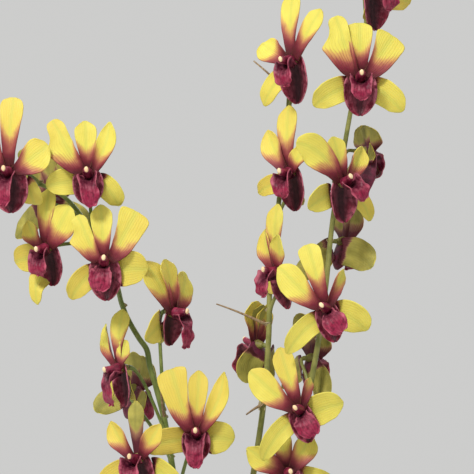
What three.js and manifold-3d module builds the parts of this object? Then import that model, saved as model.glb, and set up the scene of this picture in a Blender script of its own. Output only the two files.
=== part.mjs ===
// A potted dendrobium orchid in flower: a clay pot of bark, seven leafy canes, three flower
// sprays and their blooms. Millimetres, +Z up, +X to the right, and the sprays face -Y.
// The origin is the middle of the pot's underside.
import * as THREE from 'three';
import { mergeVertices } from 'three/addons/utils/BufferGeometryUtils.js';
import Module from 'manifold-3d';

const wasm = await Module();
wasm.setup();

const gap = 0.3; // between pieces that touch on the real plant
const sameSurface = 0.25; // joined faces that are this close to flat become one

const pot = {
  height: 138, footRadius: 56, rimRadius: 76, rimHeight: 24, rimStep: 4, wall: 5, floor: 6,
  drainRadius: 5.5, drainRing: 30, drainCount: 3, sides: 24,
};
const bark = {
  top: 117, chipCount: 18, chipLength: 23, chipWidth: 15, chipThick: 7,
};
const cane = { sides: 6, steps: 6, footRadius: 6, bellyRadius: 8, tipRadius: 4.4, buried: 30 };
const leaf = { thick: 1.1, halfWidth: 13.5 };
const stem = { footRadius: 2.3, tipRadius: 1.2, sides: 6, pedicelRadius: 1.3, pedicelSides: 5 };
const tepal = { thick: 0.9, seat: 2 }; // a tepal starts this far from the throat's middle

// Places along each flower stem, which stands on the tip of the cane of the same name.
const stemPaths = {
  left: [
    [-27.6, -2, 443], [-33, -1, 466], [-41, 0, 500], [-47, 1, 536], [-51, 2, 558], [-56, 3, 577],
    [-60.5, 4, 592], [-62.6, 4, 603], [-68, 4, 611], [-75, 4, 623], [-80, 4, 635], [-83, 4, 647],
    [-89, 4, 662], [-99, 4, 680], [-109, 4, 697], [-120, 4, 709], [-135, 4, 717],
    [-152, 4, 721], [-170, 3, 720], [-186, 1, 713],
  ],
  middle: [
    [1.4, 10, 452], [4, 9, 474], [12, 8, 520], [19, 7, 570], [22, 6, 612], [23, 6, 650],
    [27, 6, 686], [31, 5, 724], [35, 5, 762], [37, 5, 800], [38, 5, 838], [38, 5, 868],
    [37, 4, 892],
  ],
  right: [
    [23.8, 7, 447], [30, 6, 470], [38, 5, 502], [43.5, 5, 537], [50, 5, 573], [57, 5, 612],
    [62, 5, 650], [66, 5, 690], [73, 5, 735], [81, 5, 780], [89, 5, 822], [97, 5, 862],
    [103, 4, 898], [107, 3, 920],
  ],
};

// Poses of the tepals on a usual bloom, as the viewer sees them: heading in degrees from the
// right, counter-clockwise; reach from the middle; swing of the tip, plus to the viewer.
const usualTepals = {
  dorsal: { shape: 'oblong', heading: 91, reach: 38, swing: -0.12 },
  petalLeft: { shape: 'eared', heading: 120, reach: 45, swing: -0.1 },
  petalRight: { shape: 'eared', heading: 60, reach: 45, swing: -0.1 },
  sepalLeft: { shape: 'ovate', heading: 207, reach: 33, swing: -0.06 },
  sepalRight: { shape: 'ovate', heading: -27, reach: 33, swing: -0.06 },
};

// Rows of a tepal from its base to its tip: share of the reach, half width on the outer side,
// half width on the inner side. The outer side of a petal is the one away from the dorsal sepal.
const tepalRows = {
  oblong: [[0, 1.7, 1.7], [0.35, 5.6, 5.6], [0.72, 7, 7], [1, 3.4, 3.4]],
  eared: [[0, 1.5, 1.5], [0.32, 5.4, 4.4], [0.62, 14, 6], [0.82, 6.5, 9], [1, 1.5, 6.5]],
  broad: [[0, 1.5, 1.5], [0.44, 6, 5], [0.82, 12.5, 8.5], [1, 7, 5]],
  folded: [[0, 1.5, 1.5], [0.35, 4.8, 4], [0.7, 7, 5], [1, 1.4, 1.4]],
  ovate: [[0, 8, 6], [0.4, 7.5, 10], [0.74, 7, 9.5], [1, 2.6, 4]],
};

// Every bloom: its stem, the middle of its throat, its turn to the viewer's right, its look
// upwards, its roll counter-clockwise, and where its tepals stand otherwise than usual.
const blooms = {
  right_1: { stem: 'right', at: [97, -18, 854], yaw: 42, pitch: 0, roll: 8, root: 0.8 },
  right_2: {
    stem: 'right', at: [83.6, -34, 790], yaw: 0, pitch: -4, roll: 0, root: 0.7,
    tepals: { dorsal: { reach: 34 }, petalRight: { heading: 48, reach: 40 } },
  },
  right_3: {
    stem: 'right', at: [73.4, -22, 719], yaw: 32, pitch: 0, roll: 10, root: 0.57,
    tepals: { petalLeft: { shape: 'broad', heading: 138, reach: 44 } },
  },
  right_4: { stem: 'right', at: [93, 20, 741], yaw: 118, pitch: 0, roll: -4, root: 0.62 },
  right_5: { stem: 'right', at: [77, 24, 678], yaw: 124, pitch: 0, roll: 6, root: 0.5 },
  right_6: {
    stem: 'right', at: [59.2, -46, 634], yaw: -5, pitch: 0, roll: 15, root: 0.36,
    tepals: {
      petalLeft: { shape: 'broad', heading: 126, reach: 41 },
      petalRight: { shape: 'folded', heading: 56, reach: 44, twist: 62 },
      sepalLeft: { reach: 36 },
      sepalRight: { heading: 9, reach: 31 },
    },
  },
  right_7: { stem: 'right', at: [55, 28, 596], yaw: 128, pitch: 0, roll: 0, root: 0.29 },
  right_8: {
    stem: 'right', at: [41.5, -34, 565], yaw: -5, pitch: 0, roll: 17, root: 0.22,
    tepals: {
      petalLeft: { shape: 'broad', heading: 129, reach: 40 },
      petalRight: { shape: 'folded', heading: 36, reach: 26, twist: 60 },
      sepalLeft: { reach: 39 },
      sepalRight: { heading: 8, reach: 33 },
    },
  },
  right_9: {
    stem: 'right', at: [35, -20, 521], yaw: 8, pitch: 0, roll: 12, root: 0.12,
    tepals: { dorsal: { reach: 33 }, petalLeft: { reach: 30 }, petalRight: { reach: 34 } },
  },
  middle_1: {
    stem: 'middle', at: [36, -24, 802], yaw: -42, pitch: 0, roll: 0, root: 0.72,
    tepals: {
      dorsal: { heading: 96, reach: 46 },
      petalRight: { shape: 'broad', heading: 58, reach: 44 },
      petalLeft: { shape: 'folded', heading: 140, reach: 34, twist: 20 },
      sepalLeft: { reach: 36 },
      sepalRight: { heading: -40, reach: 20, swing: -0.5 },
    },
  },
  middle_2: {
    stem: 'middle', at: [35, -16, 726], yaw: -42, pitch: 0, roll: 0, root: 0.56,
    tepals: {
      dorsal: { heading: 94, reach: 46 },
      petalRight: { shape: 'folded', heading: 56, reach: 26 },
      petalLeft: { shape: 'folded', heading: 128, reach: 36, twist: 10 },
      sepalLeft: { heading: 192, reach: 30 },
      sepalRight: { heading: -40, reach: 19, swing: -0.5 },
    },
  },
  middle_3: {
    stem: 'middle', at: [26, -20, 658], yaw: -58, pitch: -6, roll: 0, root: 0.42,
    tepals: {
      dorsal: { heading: 88, reach: 45 },
      petalRight: { shape: 'folded', heading: 66, reach: 28 },
      petalLeft: { shape: 'folded', heading: 118, reach: 30 },
      sepalLeft: { reach: 26 },
      sepalRight: { heading: -44, reach: 17, swing: -0.5 },
    },
  },
  middle_4: {
    stem: 'middle', at: [12, 24, 606], yaw: -132, pitch: 4, roll: 0, root: 0.27,
    tepals: {
      petalLeft: { shape: 'folded', heading: 118, reach: 34 },
      petalRight: { shape: 'broad', heading: 72, reach: 34 },
      sepalLeft: { reach: 26 },
      sepalRight: { reach: 26 },
    },
  },
  left_1: {
    stem: 'left', at: [-155, -33, 726], yaw: -10, pitch: 0, roll: 0, root: 0.86,
    tepals: { dorsal: { reach: 46 }, petalRight: { shape: 'broad', heading: 34, reach: 30 } },
  },
  left_2: {
    stem: 'left', at: [-101.3, -30, 725], yaw: 3, pitch: 0, roll: 2, root: 0.72,
    tepals: {
      dorsal: { reach: 35 },
      petalLeft: { shape: 'broad', heading: 126, reach: 41 },
      petalRight: { shape: 'folded', heading: 64, reach: 36 },
      sepalLeft: { heading: 184, reach: 29 },
      sepalRight: { heading: -24, reach: 26 },
    },
  },
  left_3: {
    stem: 'left', at: [-132, -14, 674], yaw: -30, pitch: -4, roll: 2, root: 0.69,
    tepals: {
      petalRight: { shape: 'broad', heading: 52, reach: 32 },
      petalLeft: { shape: 'folded', heading: 120, reach: 28 },
      sepalLeft: { heading: 192, reach: 30 },
      sepalRight: { heading: 258, reach: 24 },
    },
  },
  left_4: {
    stem: 'left', at: [-89.8, -36, 665], yaw: 0, pitch: 0, roll: 3, root: 0.57,
    tepals: {
      petalLeft: { heading: 120, reach: 36 },
      petalRight: { shape: 'broad', heading: 54, reach: 40 },
      sepalLeft: { heading: 210, reach: 33 },
      sepalRight: { heading: 6, reach: 29 },
    },
  },
  left_5: {
    stem: 'left', at: [-42, -14, 630], yaw: 56, pitch: 0, roll: 10, root: 0.36,
    tepals: {
      petalLeft: { heading: 128, reach: 38 },
      petalRight: { shape: 'folded', heading: 50, reach: 32 },
      sepalLeft: { heading: 212, reach: 28 },
      sepalRight: { heading: -62, reach: 24 },
    },
  },
  left_6: {
    stem: 'left', at: [-82, -18, 592], yaw: -58, pitch: 2, roll: 0, root: 0.31,
    tepals: {
      petalLeft: { shape: 'folded', heading: 122, reach: 38 },
      petalRight: { shape: 'broad', heading: 78, reach: 36 },
      sepalLeft: { heading: 222, reach: 22 },
      sepalRight: { heading: -70, reach: 24 },
    },
  },
  left_7: {
    stem: 'left', at: [-27.9, -28, 549], yaw: 0, pitch: 0, roll: 0, root: 0.2,
    tepals: {
      petalLeft: { shape: 'broad', heading: 116, reach: 46 },
      petalRight: { shape: 'folded', heading: 58, reach: 45, twist: -20 },
      sepalLeft: { heading: 190, reach: 31 },
      sepalRight: { heading: 0, reach: 25 },
    },
  },
  left_8: {
    stem: 'left', at: [-68, -38, 532], yaw: -24, pitch: 0, roll: 4, root: 0.16,
    tepals: {
      dorsal: { reach: 32 },
      petalLeft: { shape: 'folded', heading: 134, reach: 30 },
      petalRight: { shape: 'folded', heading: 48, reach: 24 },
    },
  },
  left_9: { stem: 'left', at: [-71, 36, 574], yaw: 140, pitch: 0, roll: 4, root: 0.27 },
  left_10: { stem: 'left', at: [-130, 34, 706], yaw: 150, pitch: 0, roll: -6, root: 0.75 },
};

// Closed buds past the last bloom of each stem: place along the stem, side it leans to, length.
const buds = {
  left: [[0.925, [-0.35, -0.6, -1], 15], [0.965, [-0.6, 0.6, -0.8], 12], [1, [-1, 0, -0.5], 9]],
  middle: [[0.91, [-1, -0.3, 0.5], 17], [0.95, [1, 0.1, 0.6], 14], [1, [-0.2, -0.1, 1], 10]],
  right: [[0.9, [-0.9, 0.3, 0.5], 17], [0.95, [1, -0.3, 0.5], 14], [1, [0.2, 0, 1], 10]],
};

// Dried stalks of dropped blooms: place along the stem, direction, length.
const spentStalks = {
  left: [[0.345, [-0.1, -0.5, 1], 26]],
  middle: [
    [0.28, [-0.6, -0.75, -0.3], 20], [0.4, [-1, -0.15, 0.42], 40], [0.755, [-0.8, 0.15, 0.75], 34],
  ],
  right: [],
};

// Canes: foot and tip on the plan and height of the tip, then each leaf: place along the cane,
// heading on the plan in degrees, length, and slope at its base.
const canes = {
  left: {
    foot: [-17, 12], tip: [-27, -2, 429],
    leaves: [[0.66, 196, 128, 42], [0.76, 150, 132, 46], [0.86, 188, 118, 48], [0.95, 158, 96, 52]],
  },
  middle: {
    foot: [3, 20], tip: [1, 10, 438],
    leaves: [[0.78, 96, 124, 46], [0.87, 262, 112, 50], [0.95, 84, 92, 54]],
  },
  right: {
    foot: [21, 6], tip: [23, 7, 433],
    leaves: [[0.66, -14, 128, 42], [0.76, 32, 132, 46], [0.86, -6, 116, 48], [0.95, 24, 92, 52]],
  },
  front_left: {
    foot: [-30, -14], tip: [-66, -34, 318],
    leaves: [[0.5, 236, 112, 40], [0.66, 200, 124, 42], [0.82, 240, 120, 48], [0.96, 206, 100, 56]],
  },
  front_right: {
    foot: [34, -18], tip: [66, -36, 286],
    leaves: [[0.5, -58, 108, 40], [0.66, -22, 122, 42], [0.82, -64, 116, 48], [0.96, -30, 96, 56]],
  },
  front: {
    foot: [4, -32], tip: [8, -58, 232],
    leaves: [[0.6, 262, 96, 42], [0.8, 284, 100, 48], [0.97, 268, 84, 60]],
  },
  back: {
    foot: [-4, 46], tip: [-10, 78, 300],
    leaves: [[0.52, 62, 110, 40], [0.68, 122, 124, 44], [0.84, 66, 116, 48], [0.97, 116, 92, 58]],
  },
};

// Roots that arch from the canes' feet over the bark: foot, top of the arch, end, on the plan.
const roots = [
  { from: [-17, 12], over: [-36, 22], to: [-50, 20] },
  { from: [21, 6], over: [40, 14], to: [53, 8] },
];

const colours = {
  clay: 0xa9603f, bark: 0x5f4330, cane: 0x8a9a4e, root: 0xc9c2a4, stem: 0x7f9448,
  petal: 0xdcd066, lip: 0x8f2f5c,
};

const radians = THREE.MathUtils.degToRad;
const point = (values) => new THREE.Vector3(...values);

// Turns a closed three.js geometry into a solid that can be joined and cut.
function solidOf(geometry) {
  const bare = geometry.clone();
  bare.deleteAttribute('normal');
  bare.deleteAttribute('uv');
  const merged = mergeVertices(bare, 1e-4);
  return new wasm.Manifold(new wasm.Mesh({
    numProp: 3,
    vertProperties: new Float32Array(merged.attributes.position.array),
    triVerts: new Uint32Array(merged.index.array),
  }));
}

function geometryOf(solid) {
  const mesh = solid.getMesh();
  const geometry = new THREE.BufferGeometry();
  geometry.setAttribute('position', new THREE.BufferAttribute(mesh.vertProperties, 3));
  geometry.setIndex(new THREE.BufferAttribute(mesh.triVerts, 1));
  geometry.computeVertexNormals();
  return geometry;
}

// Merges faces and points that lie within a fraction of a blade's thickness of each other.
const lighten = (solid) => solid.asOriginal().simplify(sameSurface);
const join = (solids) => lighten(solids.reduce((whole, next) => whole.add(next)));

// A closed body from points and triangles, with its faces turned outwards.
function closedBody(points, triangles) {
  const volume = triangles.reduce((sum, [a, b, c]) => (
    sum + points[a].dot(new THREE.Vector3().crossVectors(points[b], points[c]))
  ), 0);
  const turned = volume < 0 ? triangles.map(([a, b, c]) => [a, c, b]) : triangles;
  const geometry = new THREE.BufferGeometry().setFromPoints(points);
  geometry.setIndex(turned.flat());
  return solidOf(geometry);
}

// Skins a row of equal rings and closes both ends.
function loft(rings) {
  const sides = rings[0].length;
  const triangles = [];
  for (let ring = 0; ring < rings.length - 1; ring += 1) {
    for (let side = 0; side < sides; side += 1) {
      const a = ring * sides + side;
      const b = ring * sides + ((side + 1) % sides);
      triangles.push([a, b, b + sides], [a, b + sides, a + sides]);
    }
  }
  const last = (rings.length - 1) * sides;
  for (let side = 1; side < sides - 1; side += 1) {
    triangles.push([0, side + 1, side], [last, last + side, last + side + 1]);
  }
  return closedBody(rings.flat(), triangles);
}

// A blade of even thickness over a grid of points, both faces split alike.
function blade(grid, thick) {
  const rows = grid.length;
  const columns = grid[0].length;
  const normalAt = (row, column) => {
    const along = grid[Math.min(row + 1, rows - 1)][column].clone()
      .sub(grid[Math.max(row - 1, 0)][column]);
    const across = grid[row][Math.min(column + 1, columns - 1)].clone()
      .sub(grid[row][Math.max(column - 1, 0)]);
    return along.cross(across).normalize();
  };
  const face = (side) => grid.flatMap((line, row) => (
    line.map((spot, column) => spot.clone().addScaledVector(normalAt(row, column), side * thick / 2))
  ));
  const back = rows * columns;
  const index = (row, column) => row * columns + column;
  const triangles = [];
  const wall = (a, b) => triangles.push([a, b, b + back], [a, b + back, a + back]);
  for (let row = 0; row < rows - 1; row += 1) {
    for (let column = 0; column < columns - 1; column += 1) {
      const a = index(row, column);
      const b = index(row, column + 1);
      const c = index(row + 1, column + 1);
      const d = index(row + 1, column);
      triangles.push([a, c, b], [a, d, c], [a + back, b + back, c + back], [a + back, c + back, d + back]);
    }
    wall(index(row + 1, 0), index(row, 0));
    wall(index(row, columns - 1), index(row + 1, columns - 1));
  }
  for (let column = 0; column < columns - 1; column += 1) {
    wall(index(0, column), index(0, column + 1));
    wall(index(rows - 1, column + 1), index(rows - 1, column));
  }
  return closedBody([...face(1), ...face(-1)], triangles);
}

// A tube along a curve whose radius follows a rule from 0 at its foot to 1 at its tip.
function tube(curve, steps, sides, radiusAt) {
  const frames = curve.computeFrenetFrames(steps);
  const rings = [];
  for (let step = 0; step <= steps; step += 1) {
    const centre = curve.getPointAt(step / steps);
    const radius = radiusAt(step / steps);
    rings.push(Array.from({ length: sides }, (_, side) => {
      const turn = (side / sides) * 2 * Math.PI;
      return centre.clone()
        .addScaledVector(frames.normals[step], radius * Math.cos(turn))
        .addScaledVector(frames.binormals[step], radius * Math.sin(turn));
    }));
  }
  return loft(rings);
}

// Rings of an oval section: each row gives the centre, the half width and the half height,
// and the plane of a ring is set by the two directions.
function ovalLoft(rows, sides, widthWay, heightWay) {
  return loft(rows.map(([centre, halfWidth, halfHeight]) => (
    Array.from({ length: sides }, (_, side) => {
      const turn = (side / sides) * 2 * Math.PI;
      return point(centre)
        .addScaledVector(widthWay, halfWidth * Math.cos(turn))
        .addScaledVector(heightWay, halfHeight * Math.sin(turn));
    })
  )));
}

const rightWay = new THREE.Vector3(1, 0, 0);
const upWay = new THREE.Vector3(0, 0, 1);
const viewerWay = new THREE.Vector3(0, -1, 0);

// A tepal in the bloom's own frame, which faces -Y with its throat at the origin.
function tepalBlade({ shape, heading, reach, swing, twist = 0 }, outerSide, base) {
  const along = new THREE.Vector3(Math.cos(radians(heading)), 0, Math.sin(radians(heading)));
  const flatAcross = new THREE.Vector3(-along.z, 0, along.x);
  const length = reach - tepal.seat;
  const grid = tepalRows[shape].map(([share, outer, inner]) => {
    const turn = radians(twist) * Math.min(1, share * 1.6);
    const across = flatAcross.clone().multiplyScalar(Math.cos(turn))
      .addScaledVector(viewerWay, Math.sin(turn));
    const middle = base.clone().addScaledVector(along, length * share)
      .addScaledVector(viewerWay, length * swing * share * share + 1.5 * Math.sin(Math.PI * share));
    const left = outerSide > 0 ? outer : inner;
    const right = outerSide > 0 ? inner : outer;
    const cup = share < 1 ? 0.09 : 0.02;
    const edge = (offset) => middle.clone().addScaledVector(across, offset)
      .addScaledVector(viewerWay, cup * Math.abs(offset))
      .addScaledVector(along, share < 1 ? 0 : -0.35 * Math.abs(offset));
    return [edge(-right), middle, edge(left)];
  });
  return blade(grid, tepal.thick);
}

const bases = {
  dorsal: point([0, 2.3, 2.2]),
  petalLeft: point([-1.7, 1.2, 1.4]),
  petalRight: point([1.7, 1.2, 1.4]),
  sepalLeft: point([-1.4, 4.4, -10]),
  sepalRight: point([1.4, 4.4, -10]),
};
const outerSides = { dorsal: 1, petalLeft: 1, petalRight: -1, sepalLeft: 1, sepalRight: -1 };

// The five tepals, the chin under them and the neck behind them.
function bloomSolid(changes = {}) {
  const tepals = Object.entries(usualTepals).map(([name, usual]) => (
    tepalBlade({ ...usual, ...changes[name] }, outerSides[name], bases[name])
  ));
  const neck = ovalLoft([
    [[0, -1.4, 0], 3, 3.4],
    [[0, 2.5, -0.5], 4.2, 4.6],
    [[0, 9, 0], 2, 2],
  ], 5, rightWay, upWay);
  const chin = ovalLoft([
    [[0, 2.6, 0], 4, 2.2],
    [[0, 4, -13], 5.4, 3.4],
    [[0, 6.4, -25], 1.5, 1.5],
  ], 5, rightWay, new THREE.Vector3(0, 1, 0));
  return join([...tepals, neck, chin]);
}

// The column with its cap, and the lip that curls up round it and hangs below it.
function lipSolid() {
  const column = ovalLoft([
    [[0, -1.4 - gap, -2], 2.2, 3.6],
    [[0, -5, 0], 2.2, 2.8],
    [[0, -9.6, 1.4], 1.8, 1.8],
  ], 5, rightWay, upWay);
  // Rows of the lip: way out, height, half width, rise of the edges.
  const rows = [
    [-2.3, -3.6, 2.4, 1.4],
    [-6.5, -6.4, 6.2, 7.5],
    [-10.5, -9.5, 5.4, 3],
    [-12.8, -15, 7.8, -1],
    [-11.4, -22, 3.6, -1.2],
  ];
  const grid = rows.map(([out, height, halfWidth, rise]) => (
    [-1, -0.55, 0, 0.55, 1].map((share) => (
      point([halfWidth * share, out, height + rise * share * share])
    ))
  ));
  return join([column, blade(grid, tepal.thick)]);
}

function bloomTurn({ yaw, pitch, roll }) {
  const matrix = new THREE.Matrix4().makeRotationZ(radians(yaw));
  matrix.multiply(new THREE.Matrix4().makeRotationX(radians(-pitch)));
  matrix.multiply(new THREE.Matrix4().makeRotationY(radians(-roll)));
  return new THREE.Quaternion().setFromRotationMatrix(matrix);
}

// A stalk from the stem to the back of a bloom's neck, stopping just short of it.
function pedicel(curve, bloom) {
  const turn = bloomTurn(bloom);
  const backWay = new THREE.Vector3(0, 1, 0).applyQuaternion(turn);
  const neckEnd = point(bloom.at).addScaledVector(backWay, 9 + gap);
  const from = curve.getPointAt(bloom.root);
  const rise = new THREE.Vector3(0, 0, 6);
  const path = new THREE.CubicBezierCurve3(
    from,
    from.clone().lerp(neckEnd, 0.4).add(rise),
    neckEnd.clone().addScaledVector(backWay, 9),
    neckEnd,
  );
  return tube(path, 3, stem.pedicelSides, () => stem.pedicelRadius);
}

// A closed bud with a blunt spur, leaning the way given.
function bud(curve, [place, way, length]) {
  const from = curve.getPointAt(place);
  const lean = point(way).normalize();
  const neck = from.clone().addScaledVector(lean, 0.7 * length);
  const tip = neck.clone().addScaledVector(lean, length);
  const path = new THREE.LineCurve3(from, tip);
  const plump = [1.1, 0.16 * length, 0.27 * length, 0.1 * length];
  return tube(path, plump.length - 1, 5, (share) => plump[Math.round(share * (plump.length - 1))]);
}

function spentStalk(curve, [place, way, length]) {
  const from = curve.getPointAt(place);
  const tip = from.clone().addScaledVector(point(way).normalize(), length);
  return tube(new THREE.LineCurve3(from, tip), 1, 5, (share) => 1.3 - 0.6 * share);
}

function stemSolid(name) {
  const foot = point(canes[name].tip).addScaledVector(upWay, 2 * gap);
  const curve = new THREE.CatmullRomCurve3([foot, ...stemPaths[name].map(point)]);
  const steps = stemPaths[name].length + 4;
  const rachis = tube(curve, steps, stem.sides, (share) => (
    THREE.MathUtils.lerp(stem.footRadius, stem.tipRadius, share)
  ));
  const own = Object.values(blooms).filter((bloom) => bloom.stem === name);
  return join([
    rachis,
    ...own.map((bloom) => pedicel(curve, bloom)),
    ...buds[name].map((row) => bud(curve, row)),
    ...spentStalks[name].map((row) => spentStalk(curve, row)),
  ]);
}

function caneCurve({ foot, tip }) {
  const start = point([...foot, bark.top - cane.buried]);
  const end = point(tip);
  const low = start.clone().lerp(end, 0.3);
  low.x = THREE.MathUtils.lerp(start.x, end.x, 0.18);
  low.y = THREE.MathUtils.lerp(start.y, end.y, 0.18);
  const high = start.clone().lerp(end, 0.7);
  return new THREE.CatmullRomCurve3([start, low, high, end]);
}

function caneRadius(share, slack = 0) {
  const swell = Math.sin(Math.PI * Math.min(1, share * 1.25)) ** 2;
  const plain = THREE.MathUtils.lerp(cane.footRadius, cane.tipRadius, share);
  return plain + (cane.bellyRadius - cane.footRadius) * swell + slack;
}

// An arching strap leaf: it climbs from the cane, levels out and droops a little at its tip.
function caneLeaf(curve, [place, heading, length, slope]) {
  const out = new THREE.Vector3(Math.cos(radians(heading)), Math.sin(radians(heading)), 0);
  const across = new THREE.Vector3(-out.y, out.x, 0);
  const base = curve.getPointAt(place);
  const widths = [0.34, 0.86, 1, 0.72, 0.12];
  const spot = base.clone();
  const grid = widths.map((width, row) => {
    if (row > 0) {
      const angle = radians(slope - (row - 0.5) * 21);
      spot.addScaledVector(out, (length / 4) * Math.cos(angle));
      spot.z += (length / 4) * Math.sin(angle);
    }
    const half = width * leaf.halfWidth;
    const lift = new THREE.Vector3(0, 0, 0.32 * half);
    return [
      spot.clone().addScaledVector(across, -half).add(lift),
      spot.clone(),
      spot.clone().addScaledVector(across, half).add(lift),
    ];
  });
  return blade(grid, leaf.thick);
}

function caneSolid(settings) {
  const curve = caneCurve(settings);
  const body = tube(curve, cane.steps, cane.sides, (share) => caneRadius(share));
  return join([body, ...settings.leaves.map((row) => caneLeaf(curve, row))]);
}

function rootSolid({ from, over, to }, slack = 0) {
  const towards = (share, height) => point([
    THREE.MathUtils.lerp(from[0], over[0], share),
    THREE.MathUtils.lerp(from[1], over[1], share),
    height,
  ]);
  const curve = new THREE.CatmullRomCurve3([
    towards(0.5, bark.top - 8),
    towards(0.62, bark.top + 6),
    point([...over, bark.top + 9]),
    point([...to, bark.top + 1]),
    point([to[0], to[1], bark.top - 12]),
  ]);
  return tube(curve, 8, 6, () => 2.2 + slack);
}

// A fixed sequence of draws between 0 and 1, so that the chips always lie the same way.
function drawer(seed) {
  let state = seed;
  return () => {
    state = (state * 16807) % 2147483647;
    return state / 2147483647;
  };
}

function innerRadius(height) {
  return THREE.MathUtils.lerp(pot.footRadius, pot.rimRadius - pot.rimStep, height / pot.height) - pot.wall;
}

function potSolid() {
  const bodyTop = pot.height - pot.rimHeight;
  const bodyRadius = THREE.MathUtils.lerp(pot.footRadius, pot.rimRadius - pot.rimStep, bodyTop / pot.height);
  const outline = [
    [0, 0], [pot.footRadius - 1.5, 0], [pot.footRadius, 1.5], [bodyRadius, bodyTop],
    [pot.rimRadius - 1, bodyTop + 1], [pot.rimRadius, bodyTop + 3], [pot.rimRadius, pot.height - 2],
    [pot.rimRadius - 2, pot.height], [innerRadius(pot.height) + 2, pot.height],
    [innerRadius(pot.height), pot.height - 2], [innerRadius(pot.floor), pot.floor], [0, pot.floor],
  ];
  const lathe = new THREE.LatheGeometry(outline.map(([r, z]) => new THREE.Vector2(r, z)), pot.sides);
  lathe.rotateX(Math.PI / 2);
  const holes = Array.from({ length: pot.drainCount }, (_, hole) => {
    const turn = ((hole + 0.5) / pot.drainCount) * 2 * Math.PI;
    const drill = new THREE.CylinderGeometry(pot.drainRadius, pot.drainRadius, 3 * pot.floor, 10);
    drill.rotateX(Math.PI / 2);
    drill.translate(pot.drainRing * Math.cos(turn), pot.drainRing * Math.sin(turn), pot.floor / 2);
    return solidOf(drill);
  });
  return holes.reduce((whole, hole) => whole.subtract(hole), solidOf(lathe));
}

// Bark chips on a packed core, with a plain hole for each cane and root.
function barkSolid() {
  const low = pot.floor + gap;
  const outline = [
    [0, low], [innerRadius(low) - gap, low], [innerRadius(bark.top) - gap, bark.top - 2],
    [innerRadius(bark.top) - 3, bark.top], [0, bark.top],
  ];
  const lathe = new THREE.LatheGeometry(outline.map(([r, z]) => new THREE.Vector2(r, z)), pot.sides);
  lathe.rotateX(Math.PI / 2);
  const draw = drawer(41);
  const chips = Array.from({ length: bark.chipCount }, (_, chip) => {
    const radius = (innerRadius(bark.top) - 16) * Math.sqrt((chip + 0.5) / bark.chipCount);
    const turn = chip * Math.PI * (3 - Math.sqrt(5));
    const shape = new THREE.BoxGeometry(
      bark.chipLength * (0.7 + 0.5 * draw()),
      bark.chipWidth * (0.7 + 0.5 * draw()),
      bark.chipThick,
    );
    shape.rotateX(0.5 * (draw() - 0.5));
    shape.rotateY(0.5 * (draw() - 0.5));
    shape.rotateZ(Math.PI * draw());
    shape.translate(radius * Math.cos(turn), radius * Math.sin(turn), bark.top + 1.2 + 1.5 * draw());
    return solidOf(shape);
  });
  const holes = [
    ...Object.values(canes).map((settings) => (
      tube(caneCurve(settings), cane.steps, cane.sides, (share) => caneRadius(share, 0.6))
    )),
    ...roots.map((root) => rootSolid(root, 0.5)),
  ];
  return lighten(holes.reduce((whole, hole) => whole.subtract(hole), join([solidOf(lathe), ...chips])));
}

function piece(name, solid, colour, roughness) {
  const material = new THREE.MeshStandardMaterial({ color: colour, roughness, metalness: 0 });
  const mesh = new THREE.Mesh(geometryOf(solid), material);
  mesh.name = name;
  return mesh;
}

const orchid = new THREE.Group();
orchid.add(piece('pot', potSolid(), colours.clay, 0.85));
orchid.add(piece('bark', barkSolid(), colours.bark, 0.95));

for (const [name, settings] of Object.entries(canes)) {
  orchid.add(piece(`cane_${name}`, caneSolid(settings), colours.cane, 0.5));
}
roots.forEach((root, place) => {
  orchid.add(piece(`root_${place + 1}`, rootSolid(root), colours.root, 0.7));
});
for (const name of Object.keys(stemPaths)) {
  orchid.add(piece(`stem_${name}`, stemSolid(name), colours.stem, 0.5));
}
for (const [name, bloom] of Object.entries(blooms)) {
  const flower = new THREE.Group();
  flower.position.set(...bloom.at);
  flower.quaternion.copy(bloomTurn(bloom));
  flower.add(piece(`bloom_${name}`, bloomSolid(bloom.tepals), colours.petal, 0.5));
  flower.add(piece(`lip_${name}`, lipSolid(), colours.lip, 0.5));
  orchid.add(flower);
}

export default orchid;
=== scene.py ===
import math
import random

import bmesh
import bpy
from mathutils import Matrix, Vector
from mathutils.geometry import interpolate_bezier


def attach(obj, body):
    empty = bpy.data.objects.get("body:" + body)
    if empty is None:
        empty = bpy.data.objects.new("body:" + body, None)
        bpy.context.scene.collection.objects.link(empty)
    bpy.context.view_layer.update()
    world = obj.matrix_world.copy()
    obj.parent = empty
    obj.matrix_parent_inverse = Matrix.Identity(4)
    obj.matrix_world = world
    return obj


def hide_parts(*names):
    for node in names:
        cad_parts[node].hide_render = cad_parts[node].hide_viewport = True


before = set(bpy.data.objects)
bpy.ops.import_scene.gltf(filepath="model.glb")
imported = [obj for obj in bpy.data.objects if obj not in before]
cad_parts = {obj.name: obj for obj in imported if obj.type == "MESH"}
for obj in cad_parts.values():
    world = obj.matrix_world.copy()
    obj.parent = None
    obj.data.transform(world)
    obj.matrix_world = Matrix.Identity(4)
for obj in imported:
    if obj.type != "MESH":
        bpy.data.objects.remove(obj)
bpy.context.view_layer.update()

# a potted dendrobium in flower: pot, bark, canes, flower stems and blooms, all in metres
mm = 0.001
masters = []  # models that only serve to be copied


# hands: choosing, moving and finishing

def deselect():
    bpy.ops.object.select_all(action="DESELECT")


def only(obj):
    deselect()
    obj.select_set(True)
    bpy.context.view_layer.objects.active = obj
    return obj


def named(name):
    obj = bpy.context.view_layer.objects.active
    obj.name = name
    obj.data.name = name
    return obj


def edit(obj):
    only(obj)
    bpy.ops.object.mode_set(mode="EDIT")


def done():
    bpy.ops.object.mode_set(mode="OBJECT")


def pick(obj, wanted):
    mesh = bmesh.from_edit_mesh(obj.data)
    mesh.verts.ensure_lookup_table()
    for vert in mesh.verts:
        vert.select_set(False)
    for number in wanted:
        mesh.verts[number].select_set(True)
    mesh.select_flush(True)


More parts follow.
